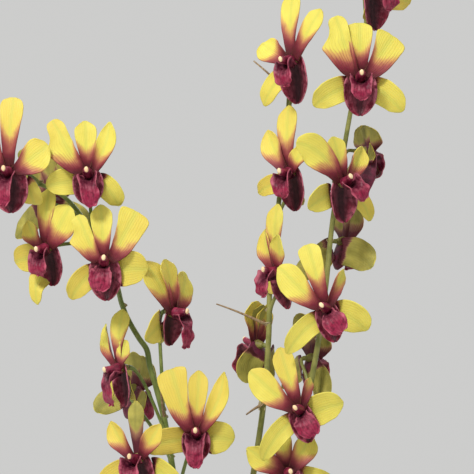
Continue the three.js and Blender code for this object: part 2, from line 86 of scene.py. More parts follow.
def settle(obj):
    only(obj)
    bpy.ops.object.transform_apply(location=True, rotation=True, scale=True)
    return obj


def stood(obj, matrix):
    obj.matrix_world = matrix
    return obj


def placed(obj, matrix):
    return settle(stood(obj, matrix))


def finished(obj):
    only(obj)
    for modifier in list(obj.modifiers):
        bpy.ops.object.modifier_apply(modifier=modifier.name)
    return obj


def copyOf(master, name):
    twin = master.copy()
    twin.data = master.data.copy()
    twin.name = name
    bpy.context.scene.collection.objects.link(twin)
    return twin


def joined(name, parts):
    only(parts[0])
    for part in parts[1:]:
        part.select_set(True)
    if len(parts) > 1:
        bpy.ops.object.join()
    return named(name)


def smoothed(obj, degrees=180):
    only(obj)
    if degrees >= 180:
        bpy.ops.object.shade_smooth()
    else:
        bpy.ops.object.shade_smooth_by_angle(angle=math.radians(degrees))
    return obj


def subdivided(obj, levels):
    modifier = obj.modifiers.new("fine", "SUBSURF")
    modifier.levels = levels
    modifier.render_levels = levels
    return finished(obj)


def walled(obj, thickness, backSlot=0):
    modifier = obj.modifiers.new("wall", "SOLIDIFY")
    modifier.thickness = thickness
    modifier.offset = 0
    modifier.use_even_offset = False
    modifier.material_offset = backSlot
    return finished(obj)


def bent(obj, method, axis, degrees):
    if abs(degrees) < 0.01:
        return obj
    modifier = obj.modifiers.new(method.lower(), "SIMPLE_DEFORM")
    modifier.deform_method = method
    modifier.deform_axis = axis
    modifier.angle = math.radians(degrees)
    return finished(obj)


def dressed(obj, *materials):
    obj.data.materials.clear()
    for material in materials:
        obj.data.materials.append(material)
    return obj


def keep(piece, slot, *nodes):
    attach(piece, "root")
    if nodes:
        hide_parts(*nodes)
    return piece


def mix(low, high, share):
    return low + (high - low) * share


# shader tools: a value is a number, a colour in steps of 0 to 255 or another node's output

def linear(colour):
    def channel(value):
        value /= 255
        return value / 12.92 if value < 0.04045 else ((value + 0.055) / 1.055) ** 2.4
    return tuple(channel(value) for value in colour)


def wire(tree, start, end):
    tree.links.new(start, end)


def feed(tree, socket, value):
    if isinstance(value, (int, float)):
        socket.default_value = value
    elif isinstance(value, tuple):
        socket.default_value = (*linear(value), 1)
    else:
        wire(tree, value, socket)


def feedAll(tree, node, values):
    for label, value in values.items():
        feed(tree, node.inputs[label], value)
    return node


def add(tree, kind, **settings):
    node = tree.nodes.new(kind)
    for setting, value in settings.items():
        setattr(node, setting, value)
    return node


def maths(tree, operation, *values):
    node = add(tree, "ShaderNodeMath", operation=operation)
    return feedAll(tree, node, dict(enumerate(values))).outputs[0]


def times(tree, first, second):
    return maths(tree, "MULTIPLY", first, second)


def plus(tree, first, second):
    return maths(tree, "ADD", first, second)


def minus(tree, first, second):
    return maths(tree, "SUBTRACT", first, second)


def spread(tree, value, low, high, toLow=0.0, toHigh=1.0):
    node = add(tree, "ShaderNodeMapRange", interpolation_type="SMOOTHSTEP")
    values = {"Value": value, "From Min": low, "From Max": high, "To Min": toLow, "To Max": toHigh}
    return feedAll(tree, node, values).outputs["Result"]


def noise(tree, **values):
    return feedAll(tree, add(tree, "ShaderNodeTexNoise"), values).outputs["Fac"]


def newGroup(name, inputs, outputs):
    # an input with no usual value is a vector
    group = bpy.data.node_groups.new(name, "ShaderNodeTree")
    for label, value in inputs.items():
        kind = "NodeSocketVector" if value is None else "NodeSocketFloat"
        socket = group.interface.new_socket(label, in_out="INPUT", socket_type=kind)
        if value is not None:
            socket.default_value = value
    for label in outputs:
        group.interface.new_socket(label, in_out="OUTPUT", socket_type="NodeSocketFloat")
    return group, group.nodes.new("NodeGroupInput").outputs, group.nodes.new("NodeGroupOutput").inputs


def makeMottle():
    group, given, result = newGroup(
        "mottle", {"Vector": None, "Scale": 100.0, "Detail": 3.0, "Low": 0.35, "High": 0.65}, ["Mask"])
    grain = noise(group, Vector=given["Vector"], Scale=given["Scale"], Detail=given["Detail"])
    wire(group, spread(group, grain, given["Low"], given["High"]), result["Mask"])
    return group


def makeVeins():
    # fine lines that run along a blade, from the blade's own UV map
    group, given, result = newGroup(
        "veins", {"UV": None, "Count": 14.0, "Waver": 0.06, "Width": 0.5},
        ["Lines", "Midrib", "Along", "Side"])
    split = add(group, "ShaderNodeSeparateXYZ")
    wire(group, given["UV"], split.inputs[0])
    across, along = split.outputs["X"], split.outputs["Y"]
    swing = minus(group, noise(group, Vector=given["UV"], Scale=5.0, Detail=2.0), 0.5)
    moved = plus(group, across, times(group, swing, given["Waver"]))
    wave = maths(group, "COSINE", times(group, times(group, moved, given["Count"]), 2 * math.pi))
    wire(group, spread(group, wave, given["Width"], 1.0), result["Lines"])
    offMiddle = maths(group, "ABSOLUTE", minus(group, moved, 0.5))
    wire(group, spread(group, offMiddle, 0.01, 0.16, 1.0, 0.0), result["Midrib"])
    wire(group, along, result["Along"])
    straight = maths(group, "ABSOLUTE", minus(group, across, 0.5))
    wire(group, times(group, straight, 2.0), result["Side"])
    return group


def makeWear():
    # light, rubbed places where the surface turns sharply
    group, given, result = newGroup("edgeWear", {"Vector": None, "Sharpness": 0.55, "Grain": 300.0}, ["Mask"])
    geometry = add(group, "ShaderNodeNewGeometry")
    rough = minus(group, noise(group, Vector=given["Vector"], Scale=given["Grain"]), 0.5)
    edge = plus(group, geometry.outputs["Pointiness"], times(group, rough, 0.12))
    high = plus(group, given["Sharpness"], 0.06)
    wire(group, spread(group, edge, given["Sharpness"], high), result["Mask"])
    return group


mottle = makeMottle()
veins = makeVeins()
edgeWear = makeWear()


def newMaterial(name, roughness, specular):
    material = bpy.data.materials.new(name)
    material.use_nodes = True
    tree = material.node_tree
    shader = tree.nodes["Principled BSDF"]
    feedAll(tree, shader, {"Roughness": roughness, "Specular IOR Level": specular})
    return material, tree, shader, add(tree, "ShaderNodeTexCoord").outputs["Object"]


def placeGroup(tree, group, **values):
    return feedAll(tree, add(tree, "ShaderNodeGroup", node_tree=group), values)


def spots(tree, place, scale, detail, low, high):
    # blotches between the levels low and high of a noise
    node = placeGroup(tree, mottle, Vector=place, Scale=scale, Detail=detail, Low=low, High=high)
    return node.outputs["Mask"]


def veined(tree, count, waver, width):
    blade = add(tree, "ShaderNodeUVMap", uv_map="UVMap").outputs["UV"]
    return placeGroup(tree, veins, UV=blade, Count=count, Waver=waver, Width=width).outputs


def stretched(tree, place, size):
    node = add(tree, "ShaderNodeMapping")
    node.inputs["Scale"].default_value = size
    wire(tree, place, node.inputs["Vector"])
    return node.outputs["Vector"]


def ramp(tree, value, stops):
    node = add(tree, "ShaderNodeValToRGB")
    elements = node.color_ramp.elements
    while len(elements) < len(stops):
        elements.new(0.5)
    for element, (place, colour) in zip(elements, stops):
        element.position = place
        element.color = (*linear(colour), 1)
    wire(tree, value, node.inputs["Fac"])
    return node.outputs["Color"]


def blend(tree, factor, first, second):
    node = add(tree, "ShaderNodeMix", data_type="RGBA")
    return feedAll(tree, node, {0: factor, 6: first, 7: second}).outputs[2]


def skin(tree, shader, colour, height, distance, strength):
    wire(tree, colour, shader.inputs["Base Color"])
    values = {"Distance": distance, "Strength": strength, "Height": height}
    bump = feedAll(tree, add(tree, "ShaderNodeBump"), values)
    wire(tree, bump.outputs["Normal"], shader.inputs["Normal"])


# finishes of the flowers

petalLook = {
    "yellow": (228, 216, 98), "straw": (216, 203, 90), "gold": (214, 186, 82), "green": (190, 196, 92),
    "peach": (202, 154, 92), "pink": (156, 78, 74), "maroon": (116, 28, 50), "deep": (76, 12, 32),
    # back colours: the backs' own duller olive, darkened further as painted shade
    "shadedBackYellow": (184, 174, 86), "shadedBackOlive": (132, 128, 60), "backRust": (150, 104, 84),
    "shadedBackMaroon": (92, 34, 48),
}


def petalMaterial(name, front):
    look = petalLook
    material, tree, shader, place = newMaterial(name, 0.5 if front else 0.55, 0.22)
    stain = add(tree, "ShaderNodeAttribute", attribute_name="stain").outputs["Fac"]
    hard = add(tree, "ShaderNodeAttribute", attribute_name="hard").outputs["Fac"]
    blade = veined(tree, 13.0, 0.1, 0.2)
    patches = spots(tree, place, 110.0, 4.0, 0.2, 0.8)
    ragged = times(tree, minus(tree, patches, 0.5), 0.09)
    streak = times(tree, times(tree, blade["Lines"], stain), 0.13)
    along = minus(tree, plus(tree, blade["Along"], ragged), streak)
    margin = times(tree, blade["Side"], blade["Side"])
    stainAndShadeClimb = plus(tree, times(tree, margin, 0.6), 1.0)  # the maroon climbs the margins: partly the stain, partly painted shade where tepals overlap
    share = maths(tree, "DIVIDE", along, times(tree, maths(tree, "MAXIMUM", stain, 0.05), stainAndShadeClimb))
    share = maths(tree, "DIVIDE", minus(tree, share, hard), minus(tree, 1.0, hard))
    midrib = times(tree, blade["Midrib"], 0.45)
    if front:
        body = blend(tree, patches, look["yellow"], look["straw"])
        age = spots(tree, place, 14.0, 1.0, 0.42, 0.62)
        body = blend(tree, times(tree, age, 0.6), body, look["gold"])
        body = blend(tree, midrib, body, look["green"])
        tint = ramp(tree, share, [(0.1, look["deep"]), (0.34, look["maroon"]), (0.56, look["pink"]),
                                  (0.78, look["peach"]), (1, look["straw"])])
    else:
        # the back: its own duller olive and stain, darkened as painted shade
        body = blend(tree, patches, look["shadedBackYellow"], look["shadedBackOlive"])
        body = blend(tree, midrib, body, look["shadedBackOlive"])
        tint = ramp(tree, share, [(0, look["shadedBackMaroon"]), (0.45, look["shadedBackMaroon"]),
                                  (0.75, look["backRust"]), (1, look["shadedBackYellow"])])
    colour = blend(tree, spread(tree, share, 0.84, 1.0, 1.0, 0.0), body, tint)
    # darker vein lines; on the back their colour is darkened too, as painted shade
    darker = times(tree, blade["Lines"], 0.1)
    colour = blend(tree, darker, colour, (162, 146, 58) if front else (104, 100, 48))
    fine = spots(tree, place, 1600.0, 2.0, 0.2, 0.8)
    height = plus(tree, times(tree, fine, 0.35), times(tree, blade["Lines"], -0.8))
    height = plus(tree, height, times(tree, blade["Midrib"], -1.2))
    skin(tree, shader, colour, height, 0.12 * mm, 0.8)
    shader.inputs["Subsurface Weight"].default_value = 0.12
    shader.inputs["Subsurface Radius"].default_value = (0.004, 0.003, 0.001)
    shader.inputs["Subsurface Scale"].default_value = 0.5
    return material


def wineMaterial(name, light, dark, roughness):
    # the outside of the chin, the purple column and other fleshy dark parts
    material, tree, shader, place = newMaterial(name, roughness, 0.45)
    patches = spots(tree, place, 260.0, 4.0, 0.3, 0.7)
    fine = spots(tree, place, 1400.0, 2.0, 0.2, 0.8)
    skin(tree, shader, blend(tree, patches, dark, light), fine, 0.1 * mm, 0.7)
    return material


def fleshMaterial(name, stops, veinAndShade, rim, rimFrom, rimHighlightWeight, count, centreShade=0.0):
    # lip and chin cup: tinted from base to tip, veined, with painted shade down the middle where asked, and a
    # pale rim on the margins that is partly painted highlight
    material, tree, shader, place = newMaterial(name, 0.45, 0.25)
    blade = veined(tree, count, 0.16, 0.1)
    patches = spots(tree, place, 240.0, 5.0, 0.35, 0.65)
    body = ramp(tree, blade["Along"], stops)
    lighter = blend(tree, 0.45, body, rim)
    body = blend(tree, times(tree, patches, 0.6), body, lighter)
    shade = spots(tree, place, 420.0, 3.0, 0.5, 0.66)
    body = blend(tree, times(tree, shade, 0.55), body, veinAndShade)
    body = blend(tree, times(tree, blade["Lines"], 0.2), body, veinAndShade)
    # painted shade: the middle is darkened towards the vein colour, as in a hollow
    middle = spread(tree, blade["Side"], 0.1, 0.75, centreShade, 0.0)
    body = blend(tree, middle, body, veinAndShade)
    # pale rim on the margins: painted highlight on the cup, the lip's lighter margin with painted highlight
    # on it
    edge = times(tree, minus(tree, patches, 0.5), 0.16)
    edge = plus(tree, blade["Side"], edge)
    colour = blend(tree, times(tree, spread(tree, edge, rimFrom, 1.0), rimHighlightWeight), body, rim)
    fine = spots(tree, place, 1500.0, 2.0, 0.2, 0.8)
    height = minus(tree, times(tree, fine, 0.4), blade["Lines"])
    skin(tree, shader, colour, height, 0.16 * mm, 0.9)
    return material


petalFace = petalMaterial("petalFace", True)
petalBackShaded = petalMaterial("petalBackShaded", False)
chinWine = wineMaterial("chinWine", (110, 30, 60), (66, 14, 36), 0.45)
neckOlive = wineMaterial("neckOlive", (146, 142, 70), (118, 108, 58), 0.5)
columnRose = wineMaterial("columnRose", (150, 48, 76), (92, 16, 42), 0.38)
capCream = wineMaterial("capCream", (250, 228, 184), (238, 200, 152), 0.4)
# lip: near black at its base beneath the cap, painted throat shade over its own deep maroon; its pale rim is
# partly its lighter margin, partly painted highlight
lipRose = fleshMaterial("lipRose", [(0, (28, 4, 16)), (0.28, (56, 6, 28)), (0.46, (98, 10, 42)),
                                    (0.6, (136, 18, 56)), (1, (164, 42, 80))],
                        veinAndShade=(70, 5, 29), rim=(200, 102, 122), rimFrom=0.8, rimHighlightWeight=0.5, count=7.0)
# inside of the chin cup: painted shade down its hollow, and its pale rim is painted highlight
cupInside = fleshMaterial("cupInside", [(0, (138, 26, 54)), (0.25, (112, 16, 40)), (0.6, (98, 12, 38)),
                                        (1, (128, 22, 56))],
                          veinAndShade=(32, 3, 11), rim=(206, 118, 136), rimFrom=0.88, rimHighlightWeight=0.65,
                          count=7.0, centreShade=0.85)
print("finishes of the flowers")


# sheets: a grid is shaped row by row, then its margins are pulled

def makeSheet(name, rows, columns, riseWay, wave=0.0, waves=2.5):
    # each row: place along, place out, left half width, right half width, how far the margins rise
    # and how far they lag behind the middle
    deselect()
    bpy.ops.mesh.primitive_grid_add(
        x_subdivisions=columns, y_subdivisions=len(rows) - 1, size=2 * mm, rotation=(math.pi / 2, 0, 0))
    obj = settle(named(name))
    middle = columns // 2
    start = [vert.co.copy() for vert in obj.data.vertices]
    edit(obj)
    for row, (along, out, left, right, rise, lag) in enumerate(rows):
        first = row * (columns + 1)
        numbers = list(range(first, first + columns + 1))
        centre = Vector((0, out * mm, along * mm))
        pick(obj, numbers)
        bpy.ops.transform.translate(value=centre - start[first + middle])
        for half, width in ((numbers[:middle], left), (numbers[middle + 1:], right)):
            pick(obj, half)
            bpy.ops.transform.resize(value=(width, 1, 1), center_override=centre)
        for step in range(1, middle + 1):
            share = step / middle
            for sign, number in ((-1, first + middle - step), (1, first + middle + step)):
                ripple = wave * share ** 3 * math.sin(waves * 2 * math.pi * row / len(rows) + sign)
                pull = riseWay * (rise * share ** 2) * mm
                pick(obj, [number])
                bpy.ops.transform.translate(value=pull + Vector((0, ripple * mm, -lag * share ** 2 * mm)))
    done()
    return obj


def ruffled(obj, amount, seed):
    edit(obj)
    bpy.ops.mesh.select_mode(type="VERT")
    bpy.ops.mesh.select_all(action="DESELECT")
    bpy.ops.mesh.select_non_manifold()
    bpy.ops.transform.vertex_random(offset=amount * mm, seed=seed)
    done()
    return obj


viewer = Vector((0, -1, 0))
up = Vector((0, 0, 1))

# rows of a left-hand tepal from base to tip, in millimetres: place along, outer half width, inner
# half width, rise and lag of the margins
tepalShapes = {
    "oblong": {"length": 36, "wave": 0.35, "rows": [
        (0, 3.4, 3.4, 1, 0), (5, 4, 4, 1.4, 0), (10, 4.8, 4.8, 1.5, 0), (15, 5.7, 5.7, 1.4, 0),
        (20, 6.7, 6.7, 1.2, 0), (25, 7.5, 7.5, 1, 0), (29.5, 7.6, 7.6, 0.7, 0.6), (33, 6.8, 6.8, 0.4, 1.6),
        (35.6, 4.8, 4.8, 0.1, 2.2), (36.4, 1.8, 1.8, 0, 0.8)]},
    "square": {"length": 34, "wave": 0.35, "rows": [
        (0, 3.4, 3.4, 1, 0), (5, 3.8, 3.8, 1.4, 0), (10, 4.5, 4.5, 1.6, 0), (15, 5.3, 5.3, 1.5, 0),
        (20, 6.2, 6.2, 1.2, 0), (25, 7.2, 7, 1, 0), (29, 7.8, 7.4, 0.6, 0), (32.4, 7.8, 7, 0.2, 0.6),
        (34.4, 6.6, 5.4, 0, 0.8), (35, 3, 2.4, 0, 0.2)]},
    "eared": {"length": 43, "wave": 0.7, "rows": [
        (0, 4, 2.8, 1, 0), (4, 7.6, 3, 1.4, 0), (8.5, 10.2, 3.4, 1.5, 0), (13.5, 12, 3.8, 1.2, 0),
        (18.5, 13.8, 4.4, 0.8, 0), (22.5, 15.4, 4.8, 0.4, 0), (25.6, 16.8, 5, 0.3, 0.3),
        (28.4, 12.2, 5.2, 0.4, 0.4), (31.6, 8, 5.6, 0.5, 0), (36, 6.8, 6.2, 0.4, 0),
        (40.4, 7.2, 5.6, 0.2, 0.6), (43.2, 4.8, 3, 0, 0.8)]},
    "fan": {"length": 33, "wave": 0.6, "rows": [
        (0, 4, 2.8, 1, 0), (4.5, 7.4, 3.2, 1.5, 0), (9.5, 9.8, 3.6, 1.6, 0), (15, 10.8, 4.8, 1.4, 0),
        (20.5, 11.4, 6.8, 1, 0), (25, 11.9, 8.8, 0.7, 0), (28.6, 12.2, 10.4, 0.4, 0),
        (31.2, 11.6, 11, 0.2, 0), (32.6, 8.4, 8.8, 0, 0.2), (33, 3.4, 4, 0, 0)]},
    "broad": {"length": 40, "wave": 0.8, "rows": [
        (0, 3.6, 3, 1, 0), (5, 5.8, 3.6, 1.4, 0), (10, 8.6, 4.6, 1.5, 0), (15, 11, 6.2, 1.3, 0),
        (20, 12.4, 8.2, 1.1, 0), (25, 12.6, 9.8, 0.9, 0), (30, 11.6, 10.6, 0.6, 0.4),
        (34.5, 9.4, 9.8, 0.4, 1.2), (38, 6.4, 7.6, 0.2, 1.6), (40, 2.8, 3.8, 0, 0.8)]},
    "folded": {"length": 38, "wave": 0.7, "rows": [
        (0, 2.6, 2.8, 1.2, 0), (5, 3.6, 3.6, 2, 0), (10, 4.8, 4.6, 2.6, 0), (15, 6.2, 5.4, 3, 0),
        (20, 7.6, 6.2, 3.2, 0), (25, 8, 6.2, 3, 0.2), (29.5, 7, 5.4, 2.6, 0.6), (33.5, 5, 4, 1.8, 1),
        (36.5, 2.8, 2.2, 1, 1), (38.4, 0.9, 0.8, 0.4, 0.5)]},
    "ovate": {"length": 25, "wave": 0.5, "rows": [
        (0, 8, 7, 0.4, 2.8), (3, 8.6, 8.4, 0.8, 1.6), (6.5, 8.8, 9.4, 1.2, 0.6), (10, 8.6, 9.8, 1.3, 0),
        (14, 8.2, 9.6, 1.3, 0), (18, 7.4, 8.8, 1, 0), (21.5, 6.2, 7.2, 0.6, 0.6), (24, 4.4, 5, 0.3, 1),
        (25.6, 1.8, 2.2, 0, 0.6)]},
}
tepalColumns = 8


def tepalMaster(shape, side):
    # side -1 has its outer margin on the viewer's left, side 1 on the right
    rows = []
    for along, outer, inner, cup, lag in tepalShapes[shape]["rows"]:
        left, right = (outer, inner) if side < 0 else (inner, outer)
        rows.append((along, 0, left, right, cup, lag))
    name = f"tepal{shape.capitalize()}{'Left' if side < 0 else 'Right'}"
    master = makeSheet(name, rows, tepalColumns, viewer, tepalShapes[shape]["wave"])
    masters.append(master)
    return dressed(master, petalFace, petalBackShaded)


tepalMasters = {(shape, side): tepalMaster(shape, side) for shape in tepalShapes for side in (-1, 1)}
print("tepal models:", len(tepalMasters))

# places and usual poses of the five tepals, in the bloom's own frame
tepalSeats = {
    "dorsal": {"at": (0, 2.3, 2.2), "side": -1},
    "petalLeft": {"at": (-1.7, 1.2, 1.4), "side": -1},
    "petalRight": {"at": (1.7, 1.2, 1.4), "side": 1},
    "sepalLeft": {"at": (-1.4, 4.4, -10), "side": -1},
    "sepalRight": {"at": (1.4, 4.4, -10), "side": 1},
}
# heading and reach: where the tip lies from the seat, counter-clockwise from the viewer's right;
# swing: lean of the whole tepal to the viewer; curl: degrees its tip bends back; curve: degrees it
# bends to its outer side; twist: degrees about its own length; wide: share of the usual width;
# stain: share that is maroon, hard: how suddenly that ends; edge: where it starts instead of at its
# seat; flip: its face is turned to the back
usualPetal = {"shape": "eared", "reach": 44, "edge": (3.4, 1.6, -0.6), "swing": 4, "curl": 20, "stain": 0.39}
usualSepal = {"shape": "ovate", "reach": 34, "edge": (8.6, 7.6, -8), "swing": 26, "curl": 44, "curve": 44,
              "stain": 0.13, "hard": 0.25}
usualPoses = {
    "dorsal": {"shape": "oblong", "heading": 91, "reach": 38, "swing": 4, "curl": 22, "stain": 0.38},
    "petalLeft": {**usualPetal, "heading": 113},
    "petalRight": {**usualPetal, "heading": 67},
    "sepalLeft": {**usualSepal, "heading": 207},
    "sepalRight": {**usualSepal, "heading": -27},
}
tepalSeatGap = 2
cupGap = 1.2
# the bases of the two side sepals are one deep cup below the throat, rows from its tip up
cupRows = [
    (-28.6, 7.4, 1.4, 1.4, 0.4, 0), (-27, 8.4, 5, 5, 1.8, 0), (-23.6, 9.4, 8.4, 8.4, 3.8, 0),
    (-19, 9.6, 10.8, 10.8, 5.4, 0), (-14, 9, 11.8, 11.8, 6, 0), (-9, 7.8, 12, 12, 5.4, 0),
    (-4.6, 6.2, 11.4, 11.4, 4, 0), (-0.6, 4.6, 9.6, 9.6, 2.6, 0), (3, 3.4, 6.4, 6.4, 1.4, 0)]


def turn(axis, degrees):
    return Matrix.Rotation(math.radians(degrees), 4, axis)


def behindCup(obj, cupSize):
    # whatever would stand in front of the wall of the lower cup is moved just behind it
    wide, tall = cupSize
    for vert in obj.data.vertices:
        height = vert.co.z / mm / tall
        for low, high in zip(cupRows, cupRows[1:-3]):
            if low[0] <= height < high[0]:
                share = (height - low[0]) / (high[0] - low[0])
                depth, half, rise = (mix(low[place], high[place], share) for place in (1, 2, 4))
                across = abs(vert.co.x) / (half * wide * mm)
                if across < 1:
                    vert.co.y = max(vert.co.y, (depth - rise * across ** 2 + cupGap) * mm)
    return obj


def posedTepal(seat, pose, name, cupSize):
    side = tepalSeats[seat]["side"]
    shape = pose["shape"]
    curve = pose.get("curve", 0)
    place = Vector(tepalSeats[seat]["at"])
    way = math.radians(pose["heading"])
    span = Vector((math.cos(way), 0, math.sin(way))) * (pose["reach"] - tepalSeatGap)
    if "edge" in pose:
        across, back, height = pose["edge"]
        edge = Vector((side * across * cupSize[0], back, height * cupSize[1]))
        span = place + span - edge
        place = edge
    heading = math.degrees(math.atan2(span.z, span.x)) + side * curve / 2
    length = math.hypot(span.x, span.z)
    tepal = copyOf(tepalMasters[shape, side], name)
    tepal.scale = (pose.get("wide", 1), 1, length / tepalShapes[shape]["length"])
    settle(tepal)
    bent(tepal, "TWIST", "Z", pose.get("twist", 0))
    bent(tepal, "BEND", "X", pose.get("curl", 0))
    bent(tepal, "BEND", "Y", side * curve)
    for label in ("stain", "hard"):
        tint = tepal.data.attributes.new(label, "FLOAT", "POINT")
        tint.data.foreach_set("value", [pose.get(label, 0)] * len(tepal.data.vertices))
    spin = turn("Y", 90 - heading) @ turn("X", pose.get("swing", 0)) @ turn("Z", pose.get("flip", 0))
    return behindCup(placed(tepal, Matrix.Translation(place * mm) @ spin), cupSize)


# neck behind the throat, the chin cup below it, column and cap in it

def ringTube(name, rings, sides, way):
    # a disc is extruded from ring to ring: centre, half width, half depth, all in millimetres
    start, wide, deep = rings[0]
    start = Vector(start) * mm
    deselect()
    bpy.ops.mesh.primitive_circle_add(
        vertices=sides, radius=mm, fill_type="NGON", location=start,
        rotation=(math.pi / 2 if way == "Y" else 0, 0, 0))
    obj = settle(named(name))
    edit(obj)
    bpy.ops.mesh.select_all(action="SELECT")

    def widen(x, depth, centre):
        size = (x, depth, 1) if way == "Z" else (x, 1, depth)
        bpy.ops.transform.resize(value=size, center_override=centre)

    widen(wide, deep, start)
    for centre, nextWide, nextDeep in rings[1:]:
        centre = Vector(centre) * mm
        bpy.ops.mesh.extrude_region_move(TRANSFORM_OT_translate={"value": centre - start})
        widen(nextWide / wide, nextDeep / deep, centre)
        start, wide, deep = centre, nextWide, nextDeep
    bpy.ops.mesh.select_all(action="SELECT")
    bpy.ops.mesh.normals_make_consistent(inside=False)
    done()
    return obj


neckRings = [((0, 1.2, -0.3), 3.4, 3.6), ((0, 2.8, -0.5), 4.2, 4.5),
             ((0, 5.4, -0.3), 3.2, 3.4), ((0, 7.6, 0), 2.3, 2.3), ((0, 9, 0), 1.9, 1.9)]
columnRings = [((0, 2.4, -1), 3.6, 4), ((0, 0.4, -1), 4, 4.4), ((0, -2.6, -0.8), 3.4, 3.8),
               ((0, -5.2, 0), 3, 3.1), ((0, -7.4, 0.8), 3.1, 2.7), ((0, -9, 1.4), 2.7, 2.4),
               ((0, -9.7, 1.6), 1.9, 1.8)]
chinSizes = {"columns": 8, "wave": 0.4, "ruffle": 0.5, "seed": 8, "thickness": 0.7}
capSizes = {
    "radius": 1.7, "at": (0, -9.9, 1.7), "scale": (0.9, 0.8, 1.2), "notchFront": -10.8, "notchHalf": 0.3,
    "notchDepth": 0.35,
}

neck = dressed(subdivided(ringTube("neck", neckRings, 10, "Y"), 1), neckOlive)
cup = makeSheet("cup", cupRows, chinSizes["columns"], viewer, chinSizes["wave"])
cup = subdivided(ruffled(cup, chinSizes["ruffle"], chinSizes["seed"]), 2)
cup = walled(dressed(cup, cupInside, chinWine), chinSizes["thickness"] * mm, backSlot=1)
column = dressed(subdivided(ringTube("column", columnRings, 10, "Y"), 1), columnRose)
deselect()
bpy.ops.mesh.primitive_uv_sphere_add(
    segments=14, ring_count=9, radius=capSizes["radius"] * mm,
    location=[part * mm for part in capSizes["at"]])
cap = named("cap")
cap.scale = capSizes["scale"]
settle(cap)
edit(cap)
notch = [vert.index for vert in bmesh.from_edit_mesh(cap.data).verts
         if vert.co.y < capSizes["notchFront"] * mm and abs(vert.co.x) < capSizes["notchHalf"] * mm]
pick(cap, notch)
bpy.ops.transform.translate(value=(0, capSizes["notchDepth"] * mm, 0))
done()
cap = dressed(subdivided(cap, 1), capCream)

# the lip: claw, side lobes that stand up beside the column, then the waved middle lobe
lipShapes = {
    "hanging": [
        (-5, 1, 3, 3, 1, 0), (-6, -2.5, 5, 5, 4, 0), (-6.8, -5.5, 6.8, 6.8, 7.4, 0),
        (-7.8, -8.2, 7, 7, 7.4, 0), (-9.2, -10.4, 5.8, 5.8, 4.4, 0), (-11.4, -12, 5.2, 5.2, 1.6, 0),
        (-14, -13, 6.2, 6.2, 0.8, 0),
        (-17, -13.2, 6.6, 6.6, 0, 0.8), (-19.8, -12.6, 5.2, 5.2, 0, 1.4), (-22, -11.8, 3.2, 3.2, 0, 1.2),
        (-23.4, -11.2, 1.4, 1.4, 0, 0.3)],
    "round": [
        (-5, 1, 3, 3, 0.6, 0), (-5.8, -2.5, 4, 4, 2, 0), (-6.4, -5.4, 4.6, 4.6, 2.6, 0),
        (-7, -8, 4.8, 4.8, 2, 0),
        (-8, -10, 5.2, 5.2, 1.2, 0), (-10, -11.6, 6.8, 6.8, 0.8, 0), (-12.6, -12.8, 8.2, 8.2, 0.8, 0),
        (-15.4, -13.2, 8.4, 8.4, 0.4, 0.6), (-18, -12.8, 7, 7, 0, 1.2), (-20, -11.8, 4.4, 4.4, 0, 1),
        (-20.8, -11.2, 1.6, 1.6, 0, 0.3)],
    "tucked": [
        (-5, 1, 3, 3, 1, 0), (-6, -2.5, 5, 5, 4, 0), (-6.6, -5.4, 7, 7, 8.4, 0), (-7.2, -8, 7.6, 7.6, 9.4, 0),
        (-8.2, -10.2, 6.6, 6.6, 6.6, 0), (-9.6, -12, 6.4, 6.4, 3.6, 0), (-11.4, -13, 7.4, 7.4, 2, 0),
        (-13.4, -13, 7.4, 7.4, 1.2, 0), (-15.2, -12.2, 5.8, 5.8, 0.6, 0), (-16.4, -11.2, 3.4, 3.4, 0.2, 0),
        (-16.9, -10.4, 1.2, 1.2, 0, 0)],
}
lipColumns = 12
lipSizes = {
    "wave": 2.4, "waves": 4.2, "ruffle": 1.9, "fineRuffle": 1, "thickness": 0.6, "keelRows": (3, 4, 5, 6),
    "keelOut": 0.9, "keelUp": 0.7,
}


def lipMaster(kind, seed):
    sheet = makeSheet(f"lipSheet{kind.capitalize()}", lipShapes[kind], lipColumns, up,
                      lipSizes["wave"], lipSizes["waves"])
    edit(sheet)
    for row in lipSizes["keelRows"]:  # two low keels run down the middle
        for step in (-1, 1):
            pick(sheet, [row * (lipColumns + 1) + lipColumns // 2 + step])
            bpy.ops.transform.translate(value=(0, -lipSizes["keelOut"] * mm, lipSizes["keelUp"] * mm))
    done()
    sheet = subdivided(ruffled(sheet, lipSizes["ruffle"], seed), 1)
    sheet = subdivided(ruffled(sheet, lipSizes["fineRuffle"], seed + 1), 1)
    sheet = dressed(walled(sheet, lipSizes["thickness"] * mm), lipRose)
    name = f"lip{kind.capitalize()}{seed}"
    whole = smoothed(joined(name, [sheet, copyOf(column, "columnCopy"), copyOf(cap, "capCopy")]))
    masters.append(whole)
    return whole


lipSeeds = (3, 11, 27)
lipMasters = {(kind, seed): lipMaster(kind, seed) for kind in lipShapes for seed in lipSeeds}
masters += [neck, cup, column, cap]
print("lip models:", len(lipMasters))

# a side sepal that lies folded behind the cup
tuckedAway = {"edge": (-3, 9.5, -8), "heading": -95, "reach": 16, "wide": 0.6, "curve": 0, "swing": 0}


def posed(reach, heading=None, **rest):
    changes = {"reach": reach, **rest}
    if heading is not None:
        changes["heading"] = heading
    return changes


def bloomAt(place, turns, root, **rest):
    return {"at": place, "turns": turns, "root": root, **rest}


